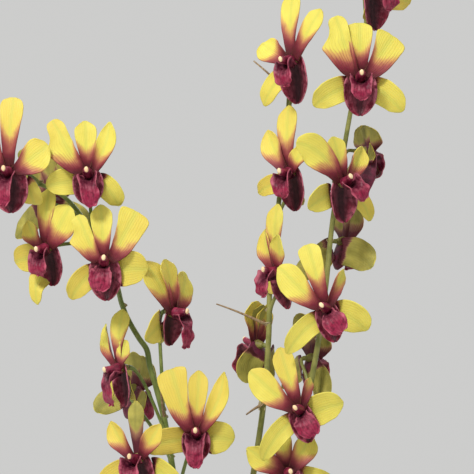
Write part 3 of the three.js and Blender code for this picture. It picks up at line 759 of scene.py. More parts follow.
# every bloom: middle of its throat; its turn to the viewer's right, its look upwards, its roll
# counter-clockwise; its place on the stem; how wide and how tall its cup is; its kind of lip and how
# that is turned to the side and lifted; how long its stains are; and how its tepals stand otherwise
# than usual, with their reach and heading first
blooms = {
    "right_1": bloomAt((97, -18, 854), (42, 0, 8), 0.8, cup=(1.1, 1.1), lip="tucked", lipTurn=(0, -14),
        sepalLeft={**tuckedAway, "heading": 265}, sepalRight=posed(36, -12, wide=1.1)),
    "right_2": bloomAt((83.6, -34, 790), (0, -4, 0), 0.7, lip="tucked",
        dorsal=posed(35, shape="square", wide=1.22), petalLeft=posed(44, 111),
        petalRight=posed(35, 52, shape="fan"), sepalLeft=posed(34, 203), sepalRight=posed(33, -31)),
    "right_3": bloomAt((73.4, -22, 719), (32, 0, 10), 0.57, cup=(0.95, 1), lip="tucked", lipTurn=(16, 10),
        dorsal=posed(31), petalLeft=posed(46, 134, shape="broad", curve=64),
        petalRight=posed(30, 44, shape="folded"), sepalLeft=posed(30, 191),
        sepalRight=posed(30, -52, wide=0.65)),
    "right_4": bloomAt((93, 20, 741), (118, 0, -4), 0.62, cup=(1.05, 1.15), lip="tucked", lipTurn=(0, -30),
        dorsal=posed(18), petalLeft=posed(18, shape="broad"), petalRight=posed(20, shape="broad"),
        sepalLeft=posed(20, 128, wide=0.7)),
    "right_5": bloomAt((77, 24, 678), (124, 0, 6), 0.5, cup=(0.75, 0.7), lip="tucked", lipTurn=(0, -30),
        dorsal=posed(28), petalLeft=posed(36, 106, shape="broad"), petalRight=posed(24, 76, shape="broad"),
        sepalLeft=posed(30, 196, wide=1.2, swing=50), sepalRight=posed(36, -52, wide=1.2, swing=-20)),
    "right_6": bloomAt((59.2, -46, 634), (-5, 0, 15), 0.36, cup=(0.72, 0.86), lip="round", lipTurn=(24, 2),
        stain=0.85, dorsal=posed(43, shape="square", wide=1.05),
        petalLeft=posed(42, 124, shape="broad", wide=0.88),
        petalRight=posed(28, 50, shape="oblong", wide=0.7, twist=70, stain=0.62),
        sepalLeft=posed(37, wide=0.85), sepalRight=posed(27, -38, wide=1.2, curve=80)),
    "right_7": bloomAt((55, 28, 596), (128, 0, 0), 0.29, cup=(0.75, 0.7), lip="tucked", lipTurn=(0, -30),
        dorsal=posed(30), petalLeft=posed(26, shape="broad"), petalRight=posed(34, shape="broad"),
        sepalLeft=posed(27, 244, swing=20)),
    "right_8": bloomAt((41.5, -34, 565), (-5, 0, 17), 0.22, cup=(0.72, 0.86), lip="round", lipTurn=(20, 0),
        stain=0.85, dorsal=posed(43), petalLeft=posed(42, 126, shape="broad", wide=0.86),
        petalRight=posed(22, 54, shape="oblong", wide=0.6, twist=60, stain=0.8),
        sepalLeft=posed(39, 211, wide=0.82), sepalRight=posed(31, 6, wide=1.15, curve=40)),
    "right_9": bloomAt((35, -20, 521), (8, 0, 12), 0.12, cup=(0.85, 0.85), dorsal=posed(27),
        petalLeft=posed(32, 138, shape="folded", wide=1.2),
        petalRight=posed(30, 46, shape="folded", wide=1.2)),
    "middle_1": bloomAt((36, -24, 802), (-42, 0, 0), 0.72, lip="tucked", cup=(1.05, 1.05),
        lipTurn=(10, -14), dorsal=posed(47, 95, wide=1.15), petalRight=posed(40, 56, shape="oblong"),
        petalLeft=posed(32, 158, shape="folded", wide=1.3, twist=40),
        sepalLeft=posed(35, 220, wide=0.8, curve=24), sepalRight=tuckedAway),
    "middle_2": bloomAt((35, -16, 726), (-42, 0, 0), 0.56, lip="tucked", lipTurn=(10, -14),
        dorsal=posed(46, 98, wide=1.2), petalRight=posed(20, 60, shape="folded"),
        petalLeft=posed(37, 128, shape="folded", wide=1.2, twist=10), sepalLeft=posed(33, 192, wide=0.75),
        sepalRight=tuckedAway),
    "middle_3": bloomAt((26, -20, 658), (-58, -6, 0), 0.42, lip="tucked", dorsal=posed(45, 92, wide=1.4),
        petalRight=posed(28, 66, shape="folded", wide=1.3, curl=-10),
        petalLeft=posed(32, 118, shape="folded", wide=1.3), sepalLeft=posed(26, 190),
        sepalRight=tuckedAway),
    "middle_4": bloomAt((12, 24, 606), (-132, 4, 0), 0.27, cup=(0.8, 0.7),
        petalLeft=posed(29, 100, shape="folded", wide=1.3, flip=180, curl=-20),
        petalRight=posed(32, 82, shape="broad", flip=180, curl=-20), dorsal=posed(28),
        sepalLeft=posed(22, 232), sepalRight=posed(21, -64)),
    "left_1": bloomAt((-155, -33, 726), (-10, 0, 0), 0.86, cup=(1.1, 1),
        dorsal=posed(49, 88, shape="square", wide=1.1), petalRight=posed(32, 32, shape="broad"),
        sepalRight=posed(26, -58, curl=80, wide=0.8, swing=-10)),
    "left_2": bloomAt((-101.3, -30, 725), (3, 0, 2), 0.72, cup=(0.88, 0.78), lipTurn=(6, 0), stain=0.85,
        dorsal=posed(35), petalLeft=posed(43, 121, wide=0.95),
        petalRight=posed(38, 66, shape="folded", twist=-30, curve=-30), sepalLeft=posed(29, 180, curve=30),
        sepalRight=posed(26, -40, curl=70, wide=0.85)),
    "left_3": bloomAt((-132, -14, 674), (-30, -4, 2), 0.69, lip="tucked", lipTurn=(0, -14),
        dorsal=posed(40, 86), petalRight=posed(34, 54, shape="broad"),
        petalLeft=posed(24, 128, shape="folded"), sepalLeft=posed(30, 182, wide=1.1, curve=30),
        sepalRight=posed(33, 251, edge=(-9, 2, -18), wide=0.6, curve=0)),
    "left_4": bloomAt((-89.8, -36, 665), (0, 0, 3), 0.57, cup=(0.92, 0.95), lip="round", lipTurn=(-10, 0),
        stain=0.75, petalLeft=posed(36, 116, wide=0.8), petalRight=posed(40, 55, shape="fan"),
        sepalLeft=posed(29, 217, wide=0.9), sepalRight=posed(30, 4, wide=1.3, curve=30)),
    "left_5": bloomAt((-42, -14, 630), (56, 0, 10), 0.36, cup=(1, 0.84), lipTurn=(-10, -10),
        dorsal=posed(36, 86, wide=1.2), petalLeft=posed(42, 109, shape="broad", curl=40),
        petalRight=posed(32, 46, shape="broad", wide=0.9), sepalLeft=posed(31, 190, wide=1.2),
        sepalRight=tuckedAway),
    "left_6": bloomAt((-82, -18, 592), (-58, 2, 0), 0.31, lipTurn=(0, -20), dorsal=posed(40, 100, twist=40),
        petalLeft=posed(40, 134, shape="folded", wide=0.9),
        petalRight=posed(20, 80, shape="broad", wide=0.8), sepalLeft=posed(26, 222, wide=0.6),
        sepalRight=tuckedAway),
    "left_7": bloomAt((-27.9, -28, 549), (0, 0, 0), 0.2, cup=(0.82, 0.76), stain=0.65,
        dorsal=posed(41, 87, wide=0.92), petalLeft=posed(46, 111, shape="fan", wide=0.96),
        petalRight=posed(45, 66, shape="folded", twist=-35, curve=-36), sepalLeft=posed(38, 186, curve=30),
        sepalRight=posed(27, 6, wide=1.25)),
    "left_8": bloomAt((-68, -38, 532), (-24, 0, 4), 0.16, lip="tucked",
        dorsal=posed(38, wide=0.8, flip=180, curl=-20), petalLeft=posed(32, 128, shape="folded"),
        petalRight=posed(28, 52, shape="folded")),
    "left_9": bloomAt((-71, 36, 574), (140, 0, 4), 0.27, cup=(0.8, 0.75), dorsal=posed(26),
        petalLeft=posed(26, shape="broad"), petalRight=posed(24, shape="broad"),
        sepalLeft=posed(26, swing=-20), sepalRight=posed(26, swing=-20)),
    "left_10": bloomAt((-130, 34, 706), (150, 0, -6), 0.75),
}
bloomSizes = {"thickness": 0.6, "ruffle": 0.35, "sway": 4, "cup": (0.95, 0.95)}
bloomDraw = random.Random(7)


def camel(name):
    first, *rest = name.split("_")
    return first + "".join(word.capitalize() for word in rest)


def bloomTurn(turns):
    yaw, pitch, roll = turns
    return turn("Z", yaw) @ turn("X", -pitch) @ turn("Y", -roll)


def makeBloom(name, bloom, number):
    place = Matrix.Translation(Vector(bloom["at"]) * mm) @ bloomTurn(bloom["turns"])
    cupSize = bloom.get("cup", bloomSizes["cup"])
    tepals = []
    for seat, usual in usualPoses.items():
        pose = {**usual, **bloom.get(seat, {})}
        pose["stain"] *= bloom.get("stain", 1)
        tepals.append(posedTepal(seat, pose, seat, cupSize))
    flower = subdivided(joined("tepals", tepals), 1)
    flower = subdivided(ruffled(flower, bloomSizes["ruffle"], number), 1)
    flower = walled(flower, bloomSizes["thickness"] * mm, backSlot=1)
    chin = placed(copyOf(cup, "chin"), Matrix.Diagonal((cupSize[0], 1, cupSize[1], 1)))
    flower = joined(camel(f"bloom_{name}"), [flower, chin, copyOf(neck, "neckCopy")])
    keep(smoothed(placed(flower, place)), "tepal", f"bloom_{name}")
    sway = bloomSizes["sway"]
    aside, lifted = bloom.get("lipTurn", (0, 0))
    lean = turn("Z", bloomDraw.uniform(-sway, sway)) @ turn("X", bloomDraw.uniform(-sway, sway) - lifted)
    model = lipMasters[bloom.get("lip", "hanging"), lipSeeds[number % len(lipSeeds)]]
    keep(placed(copyOf(model, camel(f"lip_{name}")), place @ turn("Y", -aside) @ lean), "lip", f"lip_{name}")


for number, (name, bloom) in enumerate(blooms.items()):
    makeBloom(name, bloom, number)
print("blooms:", len(blooms))

# finishes of the plant below the flowers

def greenMaterial(name, light, dark, roughness, scale, fibres=0.0, depth=0.12):
    # patches of two tones, with upright fibres over them
    material, tree, shader, place = newMaterial(name, roughness, 0.4)
    patches = spots(tree, place, scale, 5.0, 0.3, 0.7)
    body = blend(tree, patches, dark, light)
    lines = spots(tree, stretched(tree, place, (1, 1, 0.06)), 620.0, 3.0, 0.42, 0.62)
    body = blend(tree, times(tree, lines, fibres), body, dark)
    fine = spots(tree, place, 900.0, 3.0, 0.2, 0.8)
    height = minus(tree, fine, times(tree, lines, fibres * 2))
    skin(tree, shader, body, height, depth * mm, 0.7)
    return material


def leafMaterial(name):
    material, tree, shader, place = newMaterial(name, 0.38, 0.5)
    blade = veined(tree, 18.0, 0.02, 0.3)
    patches = spots(tree, place, 60.0, 4.0, 0.3, 0.7)
    body = blend(tree, patches, (62, 92, 38), (92, 122, 50))
    body = blend(tree, times(tree, blade["Lines"], 0.25), body, (50, 78, 34))
    colour = blend(tree, times(tree, blade["Midrib"], 0.55), body, (140, 158, 78))
    fine = spots(tree, place, 900.0, 3.0, 0.2, 0.8)
    height = minus(tree, times(tree, fine, 0.3), blade["Lines"])
    height = minus(tree, height, times(tree, blade["Midrib"], 2.0))
    skin(tree, shader, colour, height, 0.15 * mm, 0.8)
    return material


def barkMaterial(name, light, dark):
    material, tree, shader, place = newMaterial(name, 0.85, 0.25)
    grain = spots(tree, stretched(tree, place, (1, 1, 3)), 220.0, 6.0, 0.3, 0.7)
    worn = placeGroup(tree, edgeWear, Vector=place, Sharpness=0.53, Grain=400.0)
    body = blend(tree, grain, dark, light)
    colour = blend(tree, times(tree, worn.outputs["Mask"], 0.5), body, (168, 132, 98))
    skin(tree, shader, colour, grain, 0.6 * mm, 0.9)
    return material


def clayMaterial(name):
    material, tree, shader, place = newMaterial(name, 0.8, 0.3)
    patches = spots(tree, place, 14.0, 5.0, 0.3, 0.75)
    body = blend(tree, patches, (172, 98, 66), (190, 118, 84))
    lime = spots(tree, place, 38.0, 8.0, 0.56, 0.74)
    body = blend(tree, times(tree, lime, 0.35), body, (214, 178, 152))
    worn = placeGroup(tree, edgeWear, Vector=place, Sharpness=0.515, Grain=250.0)
    body = blend(tree, times(tree, worn.outputs["Mask"], 0.6), body, (212, 154, 120))
    fine = spots(tree, place, 700.0, 5.0, 0.3, 0.7)
    skin(tree, shader, body, fine, 0.25 * mm, 0.6)
    return material


# light and dark tone, roughness, scale of the patches, share of the fibres, depth of the relief
stemGreen = greenMaterial("stemGreen", (154, 152, 84), (116, 120, 58), 0.45, 120.0, 0.35)
stemFresh = greenMaterial("stemFresh", (140, 152, 80), (98, 116, 54), 0.45, 120.0, 0.35)
budGreen = greenMaterial("budGreen", (200, 200, 96), (164, 172, 74), 0.42, 160.0)
stalkBrown = greenMaterial("stalkBrown", (176, 152, 116), (126, 98, 72), 0.8, 500.0, 0.4)
caneGreen = greenMaterial("caneGreen", (156, 160, 84), (116, 126, 60), 0.42, 60.0, 0.4)
sheathPaper = greenMaterial("sheathPaper", (212, 202, 168), (158, 138, 100), 0.8, 110.0, 0.75, 0.3)
rootSilver = greenMaterial("rootSilver", (206, 202, 180), (168, 164, 138), 0.75, 300.0)
leafGreen = leafMaterial("leafGreen")
barkBrown = barkMaterial("barkBrown", (122, 84, 58), (66, 44, 32))
barkDark = barkMaterial("barkDark", (82, 58, 42), (40, 28, 22))
mossGreen = greenMaterial("mossGreen", (122, 136, 52), (70, 88, 32), 0.9, 900.0)
clay = clayMaterial("clay")
print("finishes of the plant and pot")


# tubes: paths with a radius at every place

def tubes(name, paths, corners):
    curve = bpy.data.curves.new(name, "CURVE")
    curve.dimensions = "3D"
    curve.bevel_depth = 1.0
    curve.bevel_resolution = corners
    curve.use_fill_caps = True
    for places, radii in paths:
        spline = curve.splines.new("POLY")
        spline.points.add(len(places) - 1)
        for spot, place, radius in zip(spline.points, places, radii):
            spot.co = (*place, 1)
            spot.radius = radius
    obj = bpy.data.objects.new(name, curve)
    bpy.context.scene.collection.objects.link(obj)
    only(obj)
    bpy.ops.object.convert(target="MESH")
    obj = named(name)
    edit(obj)
    bpy.ops.mesh.select_all(action="SELECT")
    bpy.ops.mesh.remove_doubles(threshold=0.01 * mm)
    bpy.ops.mesh.normals_make_consistent(inside=False)
    done()
    return smoothed(obj, 60)


def smoothPath(knots, spans):
    path = [knots[0]]
    for place in range(len(knots) - 1):
        start, end = knots[place], knots[place + 1]
        reach = (end - start).length / 3
        before, after = knots[max(place - 1, 0)], knots[min(place + 2, len(knots) - 1)]
        leaving = start + (end - before).normalized() * reach
        arriving = end - (after - start).normalized() * reach
        path.extend(interpolate_bezier(start, leaving, arriving, end, spans + 1)[1:])
    return path


def pointAt(path, share):
    lengths = [(end - start).length for start, end in zip(path, path[1:])]
    left = share * sum(lengths)
    for start, end, length in zip(path, path[1:], lengths):
        if left <= length:
            return start.lerp(end, left / length), (end - start).normalized()
        left -= length
    return path[-1].copy(), (path[-1] - path[-2]).normalized()


def evenly(path, count):
    return [pointAt(path, step / count)[0] for step in range(count + 1)]


# canes and their leaves: foot and tip on the plan and height of the tip, then each leaf:
# place along the cane, heading on the plan, length, slope at its base
canes = {
    "left": {"foot": (-17, 12), "tip": (-27, -2, 429), "leaves": [
        (0.66, 196, 128, 42), (0.76, 150, 132, 46), (0.86, 188, 118, 48), (0.95, 158, 96, 52)]},
    "middle": {"foot": (3, 20), "tip": (1, 10, 438), "leaves": [
        (0.78, 96, 124, 46), (0.87, 262, 112, 50), (0.95, 84, 92, 54)]},
    "right": {"foot": (21, 6), "tip": (23, 7, 433), "leaves": [
        (0.66, -14, 128, 42), (0.76, 32, 132, 46), (0.86, -6, 116, 48), (0.95, 24, 92, 52)]},
    "front_left": {"foot": (-30, -14), "tip": (-66, -34, 318), "leaves": [
        (0.5, 236, 112, 40), (0.66, 200, 124, 42), (0.82, 240, 120, 48), (0.96, 206, 100, 56)]},
    "front_right": {"foot": (34, -18), "tip": (66, -36, 286), "leaves": [
        (0.5, -58, 108, 40), (0.66, -22, 122, 42), (0.82, -64, 116, 48), (0.96, -30, 96, 56)]},
    "front": {"foot": (4, -32), "tip": (8, -58, 232), "leaves": [
        (0.6, 262, 96, 42), (0.8, 284, 100, 48), (0.97, 268, 84, 60)]},
    "back": {"foot": (-4, 46), "tip": (-10, 78, 300), "leaves": [
        (0.52, 62, 110, 40), (0.68, 122, 124, 44), (0.84, 66, 116, 48), (0.97, 116, 92, 58)]},
}
caneSizes = {
    "footHeight": 87, "footRadius": 6, "belly": 2, "tipRadius": 4.4, "internode": 30, "corners": 3,
    "steps": 9, "ring": 0.55, "ringWidth": 1.1, "swell": 0.07, "tipClosing": 0.6, "sheathTo": 0.5,
    "sheathSpan": 0.86, "sheathFit": 1.05,
}
# how far a sheath stands off its cane, from its foot to its mouth
sheathSwell = [0.1, 0.75, 0.6, 0.5, 0.55, 0.7, 0.95, 0.3]
barkTop = 117


def canePath(settings):
    start = Vector((*settings["foot"], caneSizes["footHeight"]))
    end = Vector(settings["tip"])
    low, high = start.lerp(end, 0.3), start.lerp(end, 0.7)
    low.x, low.y = mix(start.x, end.x, 0.18), mix(start.y, end.y, 0.18)
    return smoothPath([knot * mm for knot in (start, low, high, end)], 12)


def caneRadius(share):
    swell = math.sin(math.pi * min(1, share * 1.25)) ** 2
    return mix(caneSizes["footRadius"], caneSizes["tipRadius"], share) + caneSizes["belly"] * swell


def makeCane(name, settings):
    path = canePath(settings)
    length = sum((end - start).length for start, end in zip(path, path[1:])) / mm
    nodes = round(length / caneSizes["internode"])
    count = nodes * caneSizes["steps"]
    radii = []
    for step in range(count + 1):
        share = step / count
        phase = (share * nodes) % 1
        edge = min(phase, 1 - phase) * length / nodes
        ring = caneSizes["ring"] * math.exp(-((edge / caneSizes["ringWidth"]) ** 2))
        body = caneRadius(share) * (1 - caneSizes["swell"] * math.cos(2 * math.pi * phase)) + ring
        radii.append(body * mm)
    radii[-1] *= caneSizes["tipClosing"]
    body = dressed(tubes(f"caneBody{name}", [(evenly(path, count), radii)], caneSizes["corners"]), caneGreen)
    sleeves = []
    for node in range(nodes):
        low = node / nodes
        if low > caneSizes["sheathTo"] and low < 1 - 1.5 / nodes:
            continue
        high = low + caneSizes["sheathSpan"] / nodes
        shares = [mix(low, high, step / 7) for step in range(8)]
        places = [pointAt(path, share)[0] for share in shares]
        radii = [(caneRadius(share) * caneSizes["sheathFit"] + extra) * mm
                 for share, extra in zip(shares, sheathSwell)]
        sleeves.append((places, radii))
    sleeve = dressed(tubes(f"sheath{name}", sleeves, 2), sheathPaper)
    return [body, sleeve], path


leafRows = [
    (0, 0, 5, 5, 2.4, 0), (8, 0, 7.6, 7.6, 3.2, 0), (16, 0, 10, 10, 3.4, 0), (25, 0, 12, 12, 3.6, 0),
    (36, 0, 13.4, 13.4, 3.8, 0), (48, 0, 13.8, 13.8, 3.8, 0), (60, 0, 13.2, 13.2, 3.6, 0),
    (72, 0, 11.4, 11.4, 3.2, 0), (83, 0, 8.6, 8.6, 2.4, 0.6), (92, 0, 5.4, 5.4, 1.6, 0.8),
    (98, 0, 2.6, 2.4, 0.8, 0.8), (100.5, 0, 0.7, 0.5, 0.2, 0)]
leafSizes = {"length": 100, "columns": 6, "wave": 0.8, "waves": 2.2, "thickness": 0.9, "droop": 84, "sway": 7}
leafModel = makeSheet(
    "leafModel", leafRows, leafSizes["columns"], viewer, leafSizes["wave"], leafSizes["waves"])
dressed(leafModel, leafGreen)
masters.append(leafModel)
leafDraw = random.Random(12)


def makeLeaf(path, row, name):
    place, heading, length, slope = row
    leaf = copyOf(leafModel, name)
    leaf.scale = (1, 1, length / leafSizes["length"])
    settle(leaf)
    sway = leafSizes["sway"]
    bent(leaf, "TWIST", "Z", leafDraw.uniform(-sway, sway))
    bent(leaf, "BEND", "X", leafSizes["droop"])
    bent(leaf, "BEND", "Y", leafDraw.uniform(-sway, sway))
    out = Vector((math.cos(math.radians(heading)), math.sin(math.radians(heading)), 0))
    rise = math.radians(slope)
    along = out * math.cos(rise) + up * math.sin(rise)
    face = up * math.cos(rise) - out * math.sin(rise)
    turned = Matrix((along.cross(face), -face, along)).transposed().to_4x4()
    leaf = walled(subdivided(leaf, 1), leafSizes["thickness"] * mm)
    return placed(leaf, Matrix.Translation(pointAt(path, place)[0]) @ turned)


for name, settings in canes.items():
    parts, path = makeCane(camel(f"_{name}"), settings)
    parts.extend(makeLeaf(path, row, f"leaf{number}") for number, row in enumerate(settings["leaves"]))
    keep(smoothed(joined(camel(f"cane_{name}"), parts), 60), "leafy_cane", f"cane_{name}")
print("canes:", len(canes))

# flower stems: places along each, then closed buds (place, way, length) and dried stalks
stemPaths = {
    "left": [
        (-27.6, -2, 443), (-33, -1, 466), (-41, 0, 500), (-47, 1, 536), (-51, 2, 558), (-56, 3, 577),
        (-60.5, 4, 592), (-62.6, 4, 603), (-68, 4, 611), (-75, 4, 623), (-80, 4, 635), (-83, 4, 647),
        (-89, 4, 662), (-99, 4, 680), (-109, 4, 697), (-120, 4, 709), (-135, 4, 717),
        (-152, 4, 721), (-170, 3, 720), (-186, 1, 713)],
    "middle": [
        (1.4, 10, 452), (4, 9, 474), (12, 8, 520), (19, 7, 570), (22, 6, 612), (23, 6, 650),
        (27, 6, 686), (31, 5, 724), (35, 5, 762), (37, 5, 800), (38, 5, 838), (38, 5, 868), (37, 4, 892)],
    "right": [
        (23.8, 7, 447), (30, 6, 470), (38, 5, 502), (43.5, 5, 537), (50, 5, 573), (57, 5, 612),
        (62, 5, 650), (66, 5, 690), (73, 5, 735), (81, 5, 780), (89, 5, 822), (97, 5, 862),
        (103, 4, 898), (107, 3, 920)],
}
buds = {
    "left": [(0.925, (-0.35, -0.6, -1), 15), (0.965, (-0.6, 0.6, -0.8), 12), (1, (-1, 0, -0.5), 9)],
    "middle": [(0.91, (-1, -0.3, 0.5), 17), (0.95, (1, 0.1, 0.6), 14), (1, (-0.2, -0.1, 1), 10)],
    "right": [(0.9, (-0.9, 0.3, 0.5), 17), (0.95, (1, -0.3, 0.5), 14), (1, (0.2, 0, 1), 10)],
}
driedStalks = {
    "left": [(0.345, (-0.1, -0.5, 1), 26)],
    "middle": [(0.28, (-0.6, -0.75, -0.3), 20), (0.4, (-1, -0.15, 0.42), 40),
               (0.755, (-0.8, 0.15, 0.75), 34)],
    "right": [],
}
stemSizes = {
    "footRadius": 2.4, "tipRadius": 1.3, "pedicelRadius": 1.25, "neckEnd": 9.3, "corners": 2, "taper": 9,
    "footGap": 0.6, "pedicelLift": 6, "pedicelEnd": 9, "stalkFoot": 1.3, "stalkTip": 0.55, "stalkHook": 0.55,
    "stalkRise": 1.2,
}
# how thick a bloom's stalk is from stem to bloom, as shares of its radius
pedicelSwell = [1.5, 1.15] + [1.0] * 9 + [1.1, 1.3, 1.45]
budSizes = {"length": 15, "sides": 9, "seamFoot": 9, "seam": 0.82, "twist": 25}
bractSizes = {"columns": 4, "thickness": 0.3}

budRings = [((0, 0, 0), 1.1, 1.1), ((0, 0, 7.5), 1.2, 1.2), ((0, 0, 10.5), 2, 2), ((0, 0, 13), 3.3, 3.3),
            ((0, 0, 16.5), 4, 4), ((0, 0, 20), 3.6, 3.6), ((0, 0, 23.4), 2.2, 2.2), ((0, 0, 25.4), 0.6, 0.6)]
budModel = ringTube("budModel", budRings, budSizes["sides"], "Z")
edit(budModel)
# every third side is drawn in, as the seam between two sepals
side = 2 * math.pi / budSizes["sides"]
seams = [vert.index for vert in bmesh.from_edit_mesh(budModel.data).verts
         if vert.co.z > budSizes["seamFoot"] * mm and round(math.atan2(vert.co.y, vert.co.x) / side) % 3 == 0]
pick(budModel, seams)
bpy.ops.transform.resize(value=(budSizes["seam"], budSizes["seam"], 1), center_override=(0, 0, 0))
done()
budModel = dressed(subdivided(bent(budModel, "TWIST", "Z", budSizes["twist"]), 1), budGreen)
bractRows = [(0, 0, 2.6, 2.6, 3, 0), (2, 0, 2.4, 2.4, 2.2, 0), (4, -0.4, 1.5, 1.5, 1, 0),
             (6, -0.4, 0.2, 0.2, 0, 0)]
bractModel = subdivided(makeSheet("bractModel", bractRows, bractSizes["columns"], -viewer), 1)
bractModel = dressed(walled(bractModel, bractSizes["thickness"] * mm), sheathPaper)
masters += [budModel, bractModel]


def pointing(way, place):
    return Matrix.Translation(place) @ way.to_track_quat("Z", "Y").to_matrix().to_4x4()


def makeStem(name):
    foot = Vector(canes[name]["tip"]) + Vector((0, 0, stemSizes["footGap"]))
    path = smoothPath([knot * mm for knot in (foot, *map(Vector, stemPaths[name]))], 6)
    count = len(path) - 1
    radii = []
    for step in range(count + 1):
        ending = 0.5 + 0.5 * min(1, (count - step) / stemSizes["taper"])
        radii.append(mix(stemSizes["footRadius"], stemSizes["tipRadius"], step / count) * ending * mm)
    paths = [(path, radii)]
    parts = []
    joints = []
    for bloomName, bloom in blooms.items():
        if not bloomName.startswith(name):
            continue
        spin = bloomTurn(bloom["turns"]).to_3x3()
        back = spin @ Vector((0, 1, 0))
        neckEnd = Vector(bloom["at"]) * mm + back * stemSizes["neckEnd"] * mm
        start, way = pointAt(path, bloom["root"])
        lift = start.lerp(neckEnd, 0.4) + up * stemSizes["pedicelLift"] * mm
        arrival = neckEnd + back * stemSizes["pedicelEnd"] * mm
        route = interpolate_bezier(start, lift, arrival, neckEnd, len(pedicelSwell))
        paths.append((route, [stemSizes["pedicelRadius"] * size * mm for size in pedicelSwell]))
        joints.append((start, (route[2] - route[0]).normalized()))
    for place, way, length in driedStalks[name]:
        start, rise = pointAt(path, place)
        way = Vector(way).normalized()
        hook = start + way * length * stemSizes["stalkHook"] * mm + rise * stemSizes["stalkRise"] * mm
        end = start + way * length * mm
        route = interpolate_bezier(start, start.lerp(hook, 0.5), hook, end, 10)
        slim = [mix(stemSizes["stalkFoot"], stemSizes["stalkTip"], step / 9) * mm for step in range(10)]
        parts.append(dressed(tubes("stalk", [(route, slim)], 1), stalkBrown))
        joints.append((start, way))
    for place, way, length in buds[name]:
        stand = pointing(Vector(way), pointAt(path, place)[0])
        size = Matrix.Scale(length / budSizes["length"], 4)
        parts.append(placed(copyOf(budModel, "bud"), stand @ size))
    for start, way in joints:
        parts.append(placed(copyOf(bractModel, "bract"), pointing(way, start)))
    green = stemFresh if name == "left" else stemGreen
    rachis = dressed(tubes("rachis", paths, stemSizes["corners"]), green)
    keep(smoothed(joined(camel(f"stem_{name}"), [rachis, *parts]), 60), "flower_stem", f"stem_{name}")


for name in stemPaths:
    makeStem(name)
print("flower stems:", len(stemPaths))

# roots over the bark
roots = {"root_1": [(-17, 12), (-36, 22), (-50, 20)], "root_2": [(21, 6), (40, 14), (53, 8)]}
rootRadius = 2.2
for name, (start, over, end) in roots.items():
    start, over, end = Vector(start), Vector(over), Vector(end)
    knots = [(*start.lerp(over, 0.5), barkTop - 8), (*start.lerp(over, 0.62), barkTop + 6),
             (*over, barkTop + 9), (*end, barkTop + 1), (*end, barkTop - 12)]
    path = smoothPath([Vector(knot) * mm for knot in knots], 8)
    rootDraw = random.Random(name)
    radii = [rootRadius * rootDraw.uniform(0.94, 1.08) * mm for _ in path]
    keep(dressed(tubes(camel(name), [(path, radii)], 2), rootSilver), "root", name)
print("roots:", len(roots))

# the pot: a disc is drawn up the outside, over the rim and down the inside
potSizes = {
    "height": 138, "footRadius": 56, "rimRadius": 76, "rimHeight": 24, "rimStep": 4, "wall": 5, "floor": 6,
    "drainRadius": 5.5, "drainRing": 30, "drains": 3, "sides": 96,
}


def potRadius(height):
    underRim = potSizes["rimRadius"] - potSizes["rimStep"]
    return mix(potSizes["footRadius"], underRim, height / potSizes["height"])


def makePot():
    rim = potSizes["height"] - potSizes["rimHeight"]
    outer, top = potSizes["rimRadius"], potSizes["height"]
    wall, floor = potSizes["wall"], potSizes["floor"]
    foot = potSizes["footRadius"]
    # radius and height of every corner, from the underside up the outside and down the inside
    outline = [
        (foot - 2, 0), (foot - 0.6, 0.5), (foot, 2), (potRadius(rim / 3), rim / 3),
        (potRadius(2 * rim / 3), 2 * rim / 3), (potRadius(rim), rim), (outer - 1.4, rim + 0.6),
        (outer - 0.3, rim + 1.6), (outer, rim + 3.4), (outer, top - 3), (outer - 0.5, top - 1.2),
        (outer - 1.8, top - 0.2), (outer - 3, top),
        (potRadius(top) - wall + 1.6, top - 0.2), (potRadius(top) - wall + 0.4, top - 1.4),
        (potRadius(top) - wall, top - 4), (potRadius(floor) - wall, floor)]
    rings = [((0, 0, height), radius, radius) for radius, height in outline]
    pot = ringTube("potClay", rings, potSizes["sides"], "Z")
    for hole in range(potSizes["drains"]):
        angle = (hole + 0.5) / potSizes["drains"] * 2 * math.pi
        ring = potSizes["drainRing"] * mm
        deselect()
        bpy.ops.mesh.primitive_cylinder_add(
            vertices=32, radius=potSizes["drainRadius"] * mm, depth=3 * floor * mm,
            location=(ring * math.cos(angle), ring * math.sin(angle), floor / 2 * mm))
        drill = named(f"drill{hole}")
        cut = pot.modifiers.new("drain", "BOOLEAN")
        cut.object = drill
        cut.solver = "EXACT"
        finished(pot)
        bpy.data.objects.remove(drill)
    return dressed(pot, clay)


keep(smoothed(makePot(), 40), "clay", "pot")
print("pot")

# the bark: a packed bed, chips on it, and moss between them
barkSizes = {
    "chips": 150, "bedTop": 112, "bedClear": 5.6, "bedTopClear": 5.4, "bedRough": 2.5, "chipRough": 1.6,
    "chipSink": 2, "chipLift": 2.5, "chipTilt": 22, "chipBevel": 0.7, "bevelFrom": 50, "caneClear": 9,
}
# moss cushions: place on the plan and half width
mossPads = [(-37, -27, 9), (24, -42, 10), (46, -12, 7), (-24, 42, 10), (14, 46, 8), (-48, 12, 7),
            (-4, -47, 6)]
# sizes of one cushion and its leaves as shares of its half width, and how deep it sits in the bark
mossSizes = {
    "leaves": 260, "height": 0.5, "leafRadius": 0.05, "leafLength": 0.34, "leafMiddle": 0.14, "stray": 0.5,
    "sink": 0.5,
}


def around(number):
    # the golden angle sets things side by side round a middle
    return number * math.pi * (3 - math.sqrt(5))


